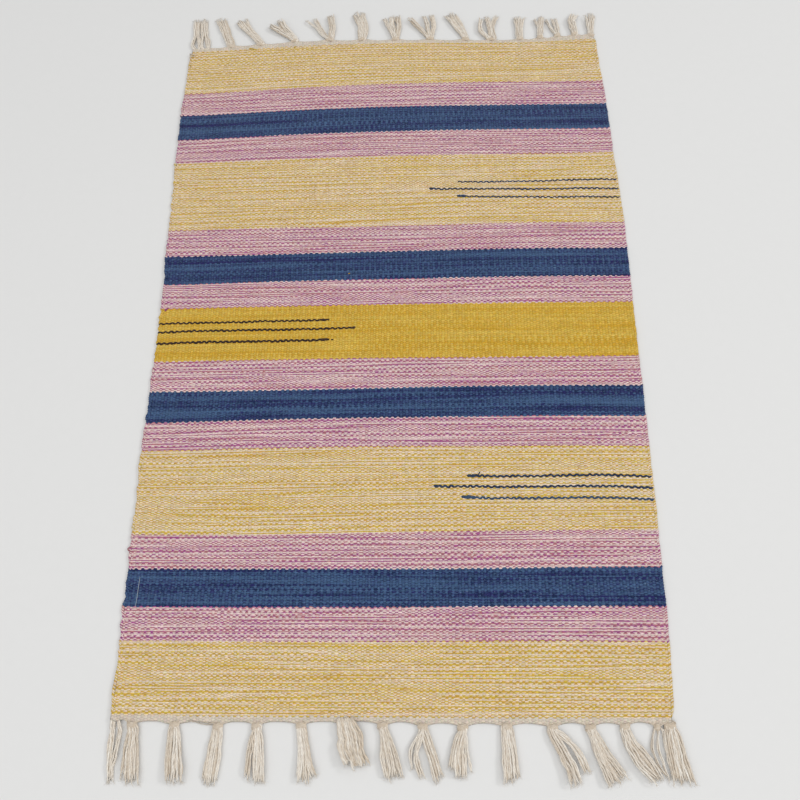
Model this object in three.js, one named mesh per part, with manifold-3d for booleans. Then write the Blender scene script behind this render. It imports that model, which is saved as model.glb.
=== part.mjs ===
// A small flat-woven cotton rug, lying flat, with a row of knotted tassels at each end.
// Sizes are in millimetres. X runs across the rug, Y along it from the near end to the far end,
// and Z is up. The origin is the middle of the underside, which lies on Z = 0.

import * as THREE from 'three';
import { mergeVertices } from 'three/addons/utils/BufferGeometryUtils.js';
import Module from 'manifold-3d';

// The cloth.
const THICKNESS = 3;
const EDGE_ROUNDING = 1.5; // how far in from its edge the cloth reaches its full thickness
const ARCH_DEPTH = 3; // how far the hem draws in between two knots
const KNOT_FLANK = 4.5; // how far to each side of a knot the hem stays nearly full
const FLANK_ARCH = 0.85; // the hem's arch at a knot's flank, where it is 1 at the knot
const CORNER_ARCH = 0.3; // and just inside the cloth's corners
const STEPS_BETWEEN_KNOTS = 3;
const LAST_INNER_ROW = 426; // distance from the middle to the last row before each hem
const INNER_ROWS = 10;

// How much the cloth's edges lift off the floor. Its middle lies flat.
const SIDE_LIFT = 1.2;
const SIDE_LIFT_REACH = 38;
const SIDE_WAVE_LENGTH = 260;
const LEFT_WAVE_START = 60;
const RIGHT_WAVE_START = -40;
const HEM_LIFT = 0.8;
const HEM_LIFT_REACH = 12;

// The tassels.
const CLEARANCE = 0.3; // between a knot and the hem
const ROOT_PITCH = 1.36; // between neighbouring yarns where they leave the knot
const BUNCH_PITCH = 1.9; // between neighbouring tips in a tassel that has parted in two
const YARN_WIDTH = 1.9;
const YARN_FILL = 0.74; // how much of the pitch a yarn fills
const YARN_HEIGHT = 1.5;
const YARN_START = 9.6; // where a yarn starts, inside its knot
const YARN_STEPS = 3;
const TIP_TAPER = 0.7;
const TIP_RAG = 5; // how much shorter than the longest the shortest yarn is
const BEND = 1.2; // over 1 the yarns leave the knot straight and lean later

const COTTON = { color: 0xc9b9a6, roughness: 0.95, metalness: 0 };
const CLOTH = { color: 0xd3b06f, roughness: 0.95, metalness: 0 };

// The side edges: where the cloth starts and ends across, at a distance along it.
const SIDE_EDGES = [
  { y: -450, left: -299.5, right: 295.8 },
  { y: -420, left: -299.8, right: 298.8 },
  { y: -380, left: -300.6, right: 301.0 },
  { y: -330, left: -301.3, right: 302.4 },
  { y: -250, left: -301.8, right: 303.2 },
  { y: -180, left: -302.3, right: 302.9 },
  { y: -100, left: -300.4, right: 302.9 },
  { y: -20, left: -298.5, right: 303.0 },
  { y: 60, left: -298.4, right: 304.0 },
  { y: 140, left: -299.7, right: 303.8 },
  { y: 220, left: -300.9, right: 301.1 },
  { y: 300, left: -300.6, right: 298.6 },
  { y: 350, left: -302.0, right: 297.3 },
  { y: 400, left: -299.8, right: 295.6 },
  { y: 450, left: -299.0, right: 295.3 },
];

// The hems' outer edges midway between knots, at a distance across.
const HEM_EDGES = [
  { x: -300, near: -450.6, far: 450.8 },
  { x: -250, near: -453.4, far: 455.3 },
  { x: -200, near: -453.6, far: 457.6 },
  { x: -150, near: -453.4, far: 460.0 },
  { x: -100, near: -452.8, far: 460.8 },
  { x: -44, near: -452.4, far: 459.4 },
  { x: 6, near: -452.8, far: 457.0 },
  { x: 54, near: -453.8, far: 455.0 },
  { x: 100, near: -453.6, far: 452.6 },
  { x: 150, near: -453.2, far: 450.3 },
  { x: 190, near: -452.8, far: 449.2 },
  { x: 225, near: -452.2, far: 451.6 },
  { x: 262, near: -451.6, far: 454.0 },
  { x: 300, near: -450.4, far: 452.2 },
];

// One row for each tassel, from left to right. x is the knot's place across. left and right are
// the tips of the outer yarns, measured from the knot, and reach is the longest yarn's length
// from the hem. bunch is how many yarns have parted to the left, and bow how far the yarns'
// middles stand out to the right.
const NEAR_TASSELS = [
  { x: -295.5, left: -0.4, right: 7.6, reach: 62, yarns: 5, bunch: 0, bow: -2 },
  { x: -275.6, left: -4.0, right: 12.5, reach: 60, yarns: 9, bunch: 0, bow: 1 },
  { x: -229.8, left: -2.9, right: 13.4, reach: 58, yarns: 9, bunch: 0, bow: 0 },
  { x: -182.4, left: -13.8, right: 0.3, reach: 60, yarns: 9, bunch: 0, bow: 0 },
  { x: -140.2, left: -8.1, right: 10.4, reach: 60, yarns: 9, bunch: 3, bow: 0 },
  { x: -93.6, left: -1.8, right: 17.3, reach: 59, yarns: 9, bunch: 0, bow: -1 },
  { x: -46.1, left: 1.9, right: 23.4, reach: 43, yarns: 9, bunch: 0, bow: 0 },
  { x: -5.8, left: 0.1, right: 19.7, reach: 53, yarns: 9, bunch: 2, bow: 0 },
  { x: 35.7, left: -15.3, right: 19.3, reach: 54, yarns: 9, bunch: 5, bow: 0 },
  { x: 77.7, left: -16.1, right: 7.0, reach: 52, yarns: 9, bunch: 0, bow: 0 },
  { x: 123.2, left: -4.5, right: 10.8, reach: 59, yarns: 9, bunch: 0, bow: 0 },
  { x: 168.4, left: 19.6, right: 37.2, reach: 58, yarns: 9, bunch: 5, bow: 0 },
  { x: 209.2, left: 14.6, right: 34.0, reach: 58, yarns: 9, bunch: 5, bow: -2 },
  { x: 244.6, left: 25.5, right: 36.5, reach: 59, yarns: 7, bunch: 0, bow: -3 },
  { x: 278.6, left: 4.2, right: 11.0, reach: 53, yarns: 4, bunch: 0, bow: -3 },
  { x: 292.0, left: -0.4, right: 17.0, reach: 61, yarns: 9, bunch: 0, bow: 1 },
];
const FAR_TASSELS = [
  { x: -290.1, left: -11.1, right: -1.3, reach: 60, yarns: 6, bunch: 0, bow: -1 },
  { x: -276.2, left: -12.4, right: -0.2, reach: 60, yarns: 7, bunch: 0, bow: 1 },
  { x: -236.5, left: -30.5, right: -13.2, reach: 57, yarns: 9, bunch: 0, bow: 1 },
  { x: -195.1, left: -39.8, right: -24.6, reach: 49, yarns: 9, bunch: 0, bow: 0 },
  { x: -146.2, left: -38.2, right: -15.9, reach: 39, yarns: 9, bunch: 0, bow: 0 },
  { x: -93.7, left: -35.7, right: 3.6, reach: 46, yarns: 9, bunch: 4, bow: 1 },
  { x: -44.6, left: -17.9, right: 2.1, reach: 57, yarns: 9, bunch: 0, bow: 3 },
  { x: 5.7, left: -15.0, right: 8.0, reach: 45, yarns: 9, bunch: 0, bow: 0 },
  { x: 55.4, left: -32.5, right: 5.0, reach: 46, yarns: 9, bunch: 4, bow: 0 },
  { x: 103.3, left: -29.5, right: -8.9, reach: 55, yarns: 9, bunch: 0, bow: 1 },
  { x: 143.7, left: -17.2, right: 10.3, reach: 45, yarns: 9, bunch: 3, bow: -2 },
  { x: 185.4, left: -6.8, right: 7.4, reach: 43, yarns: 8, bunch: 0, bow: -1 },
  { x: 212.2, left: -7.1, right: 7.0, reach: 40, yarns: 7, bunch: 3, bow: 1 },
  { x: 237.3, left: -15.1, right: 5.2, reach: 36, yarns: 7, bunch: 3, bow: 1 },
  { x: 261.7, left: -0.3, right: 8.8, reach: 41, yarns: 6, bunch: 0, bow: -4 },
  { x: 284.2, left: 2.2, right: 14.3, reach: 42, yarns: 7, bunch: 0, bow: 1 },
];

// The knot, section by section from the hem: a neck, the lump, a waist and the skirt that the
// yarns leave. Widths are shares of the skirt's width, which grows with the number of yarns.
const KNOT_SECTIONS = [
  { along: CLEARANCE, width: 0.66, height: 2.6 },
  { along: 2.6, width: 0.95, height: 4.6 },
  { along: 5.8, width: 1.0, height: 5.0 },
  { along: 8.4, width: 0.88, height: 3.4 },
  { along: 10.4, width: 1.0, height: 2.3 },
];
const SKIRT_MARGIN = 1.4; // the skirt's width beyond its outer yarns' middles

// A knot's section, as shares of its width and height. Its underside is flat.
const KNOT_OUTLINE = [
  { across: -0.36, up: 0 },
  { across: 0.36, up: 0 },
  { across: 0.48, up: 0.28 },
  { across: 0.46, up: 0.66 },
  { across: 0.24, up: 1 },
  { across: -0.24, up: 1 },
  { across: -0.46, up: 0.66 },
  { across: -0.48, up: 0.28 },
];

// A yarn's section in the same way: three sides, the widest on the floor.
const YARN_OUTLINE = [
  { across: -0.5, up: 0 },
  { across: 0.5, up: 0 },
  { across: 0, up: 1 },
];

const GOLDEN_RATIO = 0.618034;

const wasm = await Module();
wasm.setup();

// The value of one column of a table at a place between two of its rows.
function between(rows, placeColumn, place, valueColumn) {
  const last = rows.length - 1;
  const clamped = THREE.MathUtils.clamp(place, rows[0][placeColumn], rows[last][placeColumn]);
  let row = 0;
  while (row < last - 1 && rows[row + 1][placeColumn] < clamped) {
    row += 1;
  }
  const low = rows[row];
  const high = rows[row + 1];
  const share = (clamped - low[placeColumn]) / (high[placeColumn] - low[placeColumn]);
  return THREE.MathUtils.lerp(low[valueColumn], high[valueColumn], share);
}

// 1 at a distance of 0, falling smoothly to 0 at the given reach and beyond.
function fade(distance, reach) {
  return Math.max(0, 1 - distance / reach) ** 2;
}

// The grid's columns at one end: both edges, a column inside each, the knots, and between two
// knots their flanks and even steps. arch is 1 at a knot and falls to 0 midway between two.
function hemColumns(tassels, left, right) {
  const columns = [{ x: left, arch: 0 }, { x: left + EDGE_ROUNDING, arch: CORNER_ARCH }];
  tassels.forEach((tassel, number) => {
    columns.push({ x: tassel.x, arch: 1 });
    if (number === tassels.length - 1) {
      return;
    }
    const start = tassel.x + KNOT_FLANK;
    const end = tassels[number + 1].x - KNOT_FLANK;
    for (let step = 0; step <= STEPS_BETWEEN_KNOTS; step += 1) {
      const share = step / STEPS_BETWEEN_KNOTS;
      const x = THREE.MathUtils.lerp(start, end, share);
      columns.push({ x, arch: FLANK_ARCH * (2 * share - 1) ** 2 });
    }
  });
  columns.push({ x: right - EDGE_ROUNDING, arch: CORNER_ARCH }, { x: right, arch: 0 });
  return columns.map((column) => ({ ...column, share: (column.x - left) / (right - left) }));
}

// The height of the cloth's underside above the floor, at a place with its hem's arch.
function lift(x, y, arch, hemDistance) {
  const toLeft = x - between(SIDE_EDGES, 'y', y, 'left');
  const toRight = between(SIDE_EDGES, 'y', y, 'right') - x;
  const start = toLeft < toRight ? LEFT_WAVE_START : RIGHT_WAVE_START;
  const wave = 0.5 + 0.5 * Math.cos((2 * Math.PI * (y - start)) / SIDE_WAVE_LENGTH);
  const atSide = SIDE_LIFT * wave * fade(Math.min(toLeft, toRight), SIDE_LIFT_REACH);
  const atHem = HEM_LIFT * (1 - arch) * fade(hemDistance, HEM_LIFT_REACH);
  return atSide + atHem;
}

// The grid's rows: two at each hem, one on the edge and one inside it, and even rows between.
function clothRows() {
  const near = SIDE_EDGES[0].y;
  const far = SIDE_EDGES[SIDE_EDGES.length - 1].y;
  const rows = [
    { y: near, hem: 'near', inset: 0 },
    { y: near, hem: 'near', inset: EDGE_ROUNDING },
  ];
  for (let row = 0; row < INNER_ROWS; row += 1) {
    const share = row / (INNER_ROWS - 1);
    rows.push({ y: THREE.MathUtils.lerp(-LAST_INNER_ROW, LAST_INNER_ROW, share), hem: null });
  }
  rows.push({ y: far, hem: 'far', inset: EDGE_ROUNDING });
  rows.push({ y: far, hem: 'far', inset: 0 });
  return rows;
}

// The cloth: two grids of points, the upper one THICKNESS above the lower, which share their
// rim halfway between, so that the edge is rounded off all the way round.
function clothGeometry() {
  const first = SIDE_EDGES[0];
  const last = SIDE_EDGES[SIDE_EDGES.length - 1];
  const nearColumns = hemColumns(NEAR_TASSELS, first.left, first.right);
  const farColumns = hemColumns(FAR_TASSELS, last.left, last.right);
  const rows = clothRows();
  const rowCount = rows.length;
  const columnCount = nearColumns.length;
  const points = [];
  const upper = [];
  const lower = [];

  rows.forEach((row, rowNumber) => {
    const along = THREE.MathUtils.inverseLerp(first.y, last.y, row.y);
    const left = between(SIDE_EDGES, 'y', row.y, 'left');
    const right = between(SIDE_EDGES, 'y', row.y, 'right');
    const outward = row.hem === 'near' ? -1 : 1;
    nearColumns.forEach((nearColumn, columnNumber) => {
      const farColumn = farColumns[columnNumber];
      const share = THREE.MathUtils.lerp(nearColumn.share, farColumn.share, along);
      const x = THREE.MathUtils.lerp(left, right, share);
      const arch = row.hem === 'near' ? nearColumn.arch : farColumn.arch;
      let y = row.y;
      let bottom = lift(x, row.y, arch, HEM_LIFT_REACH);
      if (row.hem) {
        y = between(HEM_EDGES, 'x', x, row.hem) + outward * (ARCH_DEPTH * arch - row.inset);
        bottom = lift(x, row.y, arch, row.inset);
      }
      const endColumn = columnNumber === 0 || columnNumber === columnCount - 1;
      const endRow = rowNumber === 0 || rowNumber === rowCount - 1;
      upper.push(points.length / 3);
      if (endColumn || endRow) {
        lower.push(points.length / 3);
        points.push(x, y, bottom + THICKNESS / 2);
      } else {
        points.push(x, y, bottom + THICKNESS);
        lower.push(points.length / 3);
        points.push(x, y, bottom);
      }
    });
  });

  // Each cell is split from corner to corner, the way that cuts across none of the rim's corners.
  const faces = [];
  for (let row = 0; row < rowCount - 1; row += 1) {
    for (let column = 0; column < columnCount - 1; column += 1) {
      const a = row * columnCount + column;
      const b = a + 1;
      const c = b + columnCount;
      const d = a + columnCount;
      const leftHalf = column < columnCount / 2;
      const nearHalf = row < rowCount / 2;
      const triangles = leftHalf === nearHalf ? [[a, b, c], [a, c, d]] : [[a, b, d], [b, c, d]];
      triangles.forEach(([p, q, r]) => {
        faces.push(upper[p], upper[q], upper[r]);
        faces.push(lower[p], lower[r], lower[q]);
      });
    }
  }
  const geometry = new THREE.BufferGeometry();
  geometry.setAttribute('position', new THREE.Float32BufferAttribute(points, 3));
  geometry.setIndex(faces);
  return geometry;
}

// A closed solid through a list of rings. A ring runs anticlockwise as seen from the first
// ring's side, and both ends are flat.
function loft(rings) {
  const sides = rings[0].length;
  const points = rings.flat().flatMap((point) => point.toArray());
  const faces = [];
  for (let ring = 0; ring < rings.length - 1; ring += 1) {
    for (let side = 0; side < sides; side += 1) {
      const a = ring * sides + side;
      const b = ring * sides + ((side + 1) % sides);
      faces.push(a, b + sides, b, a, a + sides, b + sides);
    }
  }
  const end = (rings.length - 1) * sides;
  for (let side = 1; side < sides - 1; side += 1) {
    faces.push(0, side, side + 1);
    faces.push(end, end + side + 1, end + side);
  }
  const geometry = new THREE.BufferGeometry();
  geometry.setAttribute('position', new THREE.Float32BufferAttribute(points, 3));
  geometry.setIndex(faces);
  return geometry;
}

// One ring: an outline laid square to a heading in the floor's plane, resting on the floor.
function ringAt(outline, x, y, heading, width, height) {
  const across = new THREE.Vector2(heading.y, -heading.x);
  return outline.map((point) => {
    const reach = point.across * width;
    return new THREE.Vector3(x + across.x * reach, y + across.y * reach, point.up * height);
  });
}

// A value between 0 and 1 that differs unevenly from one yarn to the next.
function uneven(number) {
  return (number * GOLDEN_RATIO) % 1;
}

// The knot of a tassel, in the tassel's own frame: its root is the origin, +Y leads outwards.
function knotGeometry(skirtWidth) {
  const outwards = new THREE.Vector2(0, 1);
  const rings = KNOT_SECTIONS.map((section) => {
    const width = section.width * skirtWidth;
    return ringAt(KNOT_OUTLINE, 0, section.along, outwards, width, section.height);
  });
  return loft(rings);
}

// Where a yarn's tip lies across. Neighbours are evenly spread, or in two bunches.
function tipAcross(tassel, yarn) {
  if (tassel.bunch === 0) {
    return THREE.MathUtils.lerp(tassel.left, tassel.right, yarn / (tassel.yarns - 1));
  }
  if (yarn < tassel.bunch) {
    return tassel.left + yarn * BUNCH_PITCH;
  }
  return tassel.right - (tassel.yarns - 1 - yarn) * BUNCH_PITCH;
}

// One yarn in the tassel's own frame: it leaves the knot straight, leans over towards its tip
// and rests on the floor all the way. All of a tassel's yarns lean alike at the same distance
// from the hem, so none crosses another. outward is -1 where the tassel lies turned half round.
function yarnGeometry(tassel, yarn, outward) {
  const gaps = tassel.yarns - 1;
  const tipPitch = tassel.bunch > 0 ? BUNCH_PITCH : (tassel.right - tassel.left) / gaps;
  const rootX = (yarn - gaps / 2) * ROOT_PITCH;
  const tipX = tipAcross(tassel, yarn);
  const length = tassel.reach - YARN_START;
  const ownLength = length - TIP_RAG * uneven(yarn + Math.abs(tassel.x));
  const rings = [];
  for (let step = 0; step <= YARN_STEPS; step += 1) {
    const y = YARN_START + (ownLength * step) / YARN_STEPS;
    const share = (y - YARN_START) / length;
    const lean = share ** BEND;
    const x = THREE.MathUtils.lerp(rootX, tipX, lean) + tassel.bow * Math.sin(Math.PI * share);
    const leanSlope = (tipX - rootX) * BEND * share ** (BEND - 1);
    const bowSlope = tassel.bow * Math.PI * Math.cos(Math.PI * share);
    const slope = step === 0 ? 0 : leanSlope + bowSlope;
    const heading = new THREE.Vector2(slope * outward, length).normalize();
    const pitch = THREE.MathUtils.lerp(ROOT_PITCH, tipPitch, lean) * heading.y;
    const taper = step === YARN_STEPS ? TIP_TAPER : 1;
    const width = Math.min(YARN_WIDTH, pitch * YARN_FILL) * taper;
    rings.push(ringAt(YARN_OUTLINE, x * outward, y, heading, width, YARN_HEIGHT * taper));
  }
  return loft(rings);
}

// A geometry as a solid that can be joined to others.
function toSolid(geometry) {
  const merged = mergeVertices(geometry);
  return new wasm.Manifold(new wasm.Mesh({
    numProp: 3,
    vertProperties: new Float32Array(merged.getAttribute('position').array),
    triVerts: new Uint32Array(merged.getIndex().array),
  }));
}

// A solid back as a geometry.
function toGeometry(solid) {
  const mesh = solid.getMesh();
  const geometry = new THREE.BufferGeometry();
  geometry.setAttribute('position', new THREE.Float32BufferAttribute(mesh.vertProperties, 3));
  geometry.setIndex(Array.from(mesh.triVerts));
  return geometry;
}

// A tassel: a knot with its yarns fused into it.
function tasselGeometry(tassel, outward) {
  const skirtWidth = (tassel.yarns - 1) * ROOT_PITCH + SKIRT_MARGIN;
  let solid = toSolid(knotGeometry(skirtWidth));
  for (let yarn = 0; yarn < tassel.yarns; yarn += 1) {
    solid = solid.add(toSolid(yarnGeometry(tassel, yarn, outward)));
  }
  return toGeometry(solid);
}

function namedMesh(name, geometry, look) {
  const mesh = new THREE.Mesh(geometry, new THREE.MeshStandardMaterial(look));
  mesh.name = name;
  return mesh;
}

// A row of tassels, each with its root on the hem's edge at its knot. outward is -1 at the near
// end, whose tassels are turned half round to point away from the cloth.
function tasselRow(end, tassels, outward) {
  const row = new THREE.Group();
  tassels.forEach((tassel, number) => {
    const name = `tassel_${end}_${String(number + 1).padStart(2, '0')}`;
    const mesh = namedMesh(name, tasselGeometry(tassel, outward), COTTON);
    mesh.position.set(tassel.x, between(HEM_EDGES, 'x', tassel.x, end) + outward * ARCH_DEPTH, 0);
    mesh.rotation.z = outward < 0 ? Math.PI : 0;
    row.add(mesh);
  });
  return row;
}

const rug = new THREE.Group();
rug.add(namedMesh('rug_cloth', clothGeometry(), CLOTH));
rug.add(tasselRow('near', NEAR_TASSELS, -1));
rug.add(tasselRow('far', FAR_TASSELS, 1));

export default rug;
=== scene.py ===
"""A small flat-woven cotton rug lying on a pale floor, with a row of knotted tassels at each end.

The cloth is weft-faced: each pick of weft passes over every second warp and shows there as a
bead, and the beads of neighbouring warps interlock like bricks. A pick is two strands laid side
by side, one coloured and one pale, which turn about each other as they go. Both the coloured
bands and the beads follow the cloth's own map, which counts warps across and picks along.

Sizes in the tables are in millimetres, in the frame of the packed model. X runs across the rug,
Y along it from the near end to the far end, and Z is up.
"""

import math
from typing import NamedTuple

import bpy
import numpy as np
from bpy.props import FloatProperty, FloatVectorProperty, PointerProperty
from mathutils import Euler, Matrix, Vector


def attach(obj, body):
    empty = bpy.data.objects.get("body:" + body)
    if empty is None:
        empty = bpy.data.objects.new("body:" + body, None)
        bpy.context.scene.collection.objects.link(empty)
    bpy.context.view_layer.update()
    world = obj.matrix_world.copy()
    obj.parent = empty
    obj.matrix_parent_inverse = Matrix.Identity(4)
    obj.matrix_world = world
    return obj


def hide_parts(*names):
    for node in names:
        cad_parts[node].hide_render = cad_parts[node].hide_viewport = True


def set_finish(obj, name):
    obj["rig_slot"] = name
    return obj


bl_info = {
    "name": "Flat-woven Rug",
    "version": (1, 0, 0),
    "blender": (4, 5, 0),
    "location": "3D View > Sidebar > Rug",
    "description": "Weaves a small cotton rug with inlaid lines and knotted tassels",
    "category": "Add Mesh",
}

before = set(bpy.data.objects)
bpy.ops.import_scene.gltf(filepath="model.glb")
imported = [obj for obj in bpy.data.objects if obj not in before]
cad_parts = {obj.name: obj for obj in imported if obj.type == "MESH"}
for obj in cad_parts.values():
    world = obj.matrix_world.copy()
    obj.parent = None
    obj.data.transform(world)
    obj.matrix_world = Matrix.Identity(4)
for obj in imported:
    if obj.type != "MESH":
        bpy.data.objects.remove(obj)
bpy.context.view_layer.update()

MM = 0.001
UP = np.array([0.0, 0.0, 1.0])
BODY = "root"
CLOTH_NODE = "rug_cloth"

# Seeds of the random draws
WARP_SEED = 5
SELVEDGE_SEED = 11
INLAY_SEED = 23
NEAR_HEM_SEED = 31
FAR_HEM_SEED = 32
TASSEL_SEED_STEP = 100  # between the seeds of the two rows


def linear(red, green, blue):
    """A colour given as three values from 0 to 255, as Blender's linear colour."""
    shares = (value / 255 for value in (red, green, blue))
    return tuple(s / 12.92 if s <= 0.04045 else ((s + 0.055) / 1.055) ** 2.4 for s in shares)


# The bands of colour


# Where a band's near border is read, across the rug.
BORDER_PLACES = (-290, -220, -150, -80, 0, 80, 150, 220, 290)
BORDER_ROUNDING = 25.0  # how far apart the five readings lie that are averaged


class Band(NamedTuple):
    """One band of weft: its colour, and how far along the rug its near border runs at each of the
    places across."""

    colour: str
    border: tuple


BANDS = (
    Band("yellow", (-447.6, -448.3, -448.6, -448.2, -448.2, -448.4, -448.3, -448.0, -447.8)),
    Band("pink", (-372.8, -372.8, -372.9, -372.6, -373.0, -372.5, -371.8, -371.9, -373.0)),
    Band("blue", (-336.0, -336.5, -337.0, -336.7, -337.0, -336.6, -336.1, -336.2, -336.2)),
    Band("pink", (-294.5, -295.0, -295.4, -295.4, -295.8, -295.8, -295.0, -294.2, -294.4)),
    Band("yellow", (-256.2, -257.5, -257.3, -256.2, -254.9, -254.5, -253.9, -253.3, -254.0)),
    Band("pink", (-156.9, -155.2, -154.0, -153.5, -153.6, -154.3, -154.6, -154.6, -156.6)),
    Band("blue", (-121.2, -120.1, -118.4, -117.5, -117.6, -117.6, -117.8, -117.6, -119.8)),
    Band("pink", (-80.9, -81.4, -81.0, -80.9, -79.8, -79.2, -79.4, -79.4, -81.6)),
    Band("mustard", (-41.0, -40.3, -40.6, -40.7, -40.5, -41.7, -42.3, -42.4, -43.3)),
    Band("pink", (31.8, 32.6, 32.6, 32.6, 32.3, 31.8, 31.1, 30.8, 29.0)),
    Band("blue", (65.9, 67.6, 68.2, 68.7, 68.5, 68.6, 68.4, 68.0, 65.7)),
    Band("pink", (108.0, 107.9, 108.2, 108.7, 108.4, 109.0, 109.1, 108.5, 105.7)),
    Band("yellow", (147.6, 148.2, 147.7, 147.1, 146.9, 147.0, 146.8, 146.5, 144.0)),
    Band("pink", (253.8, 255.4, 256.7, 257.4, 257.3, 256.4, 254.7, 253.2, 252.5)),
    Band("blue", (292.7, 294.9, 296.9, 297.8, 297.5, 297.0, 295.5, 293.7, 291.8)),
    Band("pink", (334.0, 336.3, 338.3, 339.4, 339.6, 338.2, 336.5, 335.0, 332.5)),
    Band("yellow", (371.6, 374.5, 377.2, 378.4, 378.8, 377.8, 376.4, 375.2, 372.4)),
    Band("hem", (449.2, 451.2, 452.8, 453.6, 453.2, 449.4, 445.6, 445.4, 447.0)),
)


# How far apart the warps lie across the rug, before each one's own small variation.
PITCH_PLACES = (-225, -110, 0, 110, 225)
WARP_PITCHES = (3.59, 3.54, 3.55, 3.47, 3.57)


# The inlaid lines


class Line(NamedTuple):
    """A dark yarn inlaid from its free end in the cloth to the side where it leaves it. bends is
    how far it strays along the rug from the straight line, at even places from left to right."""

    free: tuple
    side: tuple
    width: float
    shade: float  # 0 is the darkest yarn, 1 the lightest
    tuck: float  # length of the doubled end
    tuck_width: float
    bends: tuple
    colour: str = "inlay"


LINES = (
    Line((88.5, 211.6), (301.0, 208.2), 2.3, 0.1, 0.0, 0.0,
         (0.92, 0.23, 0.24, 0.02, 0.27, 1.05, 2.3, 0.9)),
    Line((50.8, 201.6), (302.0, 193.3), 2.5, 0.05, 6.0, 2.3,
         (1.03, 0.55, 1.01, 1.51, 0.42, 1.53, 2.4, 1.46)),
    Line((88.0, 189.2), (302.0, 181.0), 2.4, 0.2, 12.0, 3.7,
         (0.5, 0.0, 0.27, 0.26, 0.07, 0.93, 1.27, 0.52)),
    Line((-78.8, 11.8), (-297.5, 10.4), 2.7, 0.1, 14.0, 2.8,
         (0.36, 1.22, 0.94, 0.86, 0.47, 1.2, 0.46, 0.43), "umber"),
    Line((-45.0, 0.2), (-297.5, -1.8), 2.8, 0.1, 7.0, 2.2,
         (0.47, 1.9, 1.53, 1.36, 1.05, 0.56, 0.32, 0.91), "umber"),
    Line((-77.9, -15.4), (-297.5, -17.7), 3.2, 0.1, 12.0, 3.2,
         (1.1, 1.85, 1.63, 1.8, 1.25, 0.83, 0.68, 0.44), "umber"),
    Line((90.2, -190.2), (301.0, -192.2), 2.8, 0.05, 11.0, 3.6,
         (-0.13, -0.56, -0.25, 0.37, 0.88, 1.26, 1.02, -0.56)),
    Line((51.1, -202.5), (301.0, -206.5), 2.8, 0.15, 9.0, 2.6,
         (0.43, 0.68, 0.25, 0.85, 1.21, 1.99, 2.13, 0.47)),
    Line((83.1, -215.3), (301.0, -219.3), 2.8, 0.8, 15.0, 4.2,
         (-0.03, -0.61, -0.42, 0.05, 1.1, 1.33, 1.42, -0.23)),
)


# The tassels


class Tassel(NamedTuple):
    """One tassel: where the middle of its knot lies across and along, and its locks. A lock is the
    number of yarns that lie together and the points their middle runs through, each across and off
    the rug from the knot. rise is how high the tips stand off the floor and lift how much higher
    the yarns start than a knot, and girth is the yarns' share of the usual diameter."""

    x: float
    y: float
    rise: float
    locks: tuple
    knotted: bool = True
    lift: float = 0.0
    girth: float = 1.0


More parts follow.
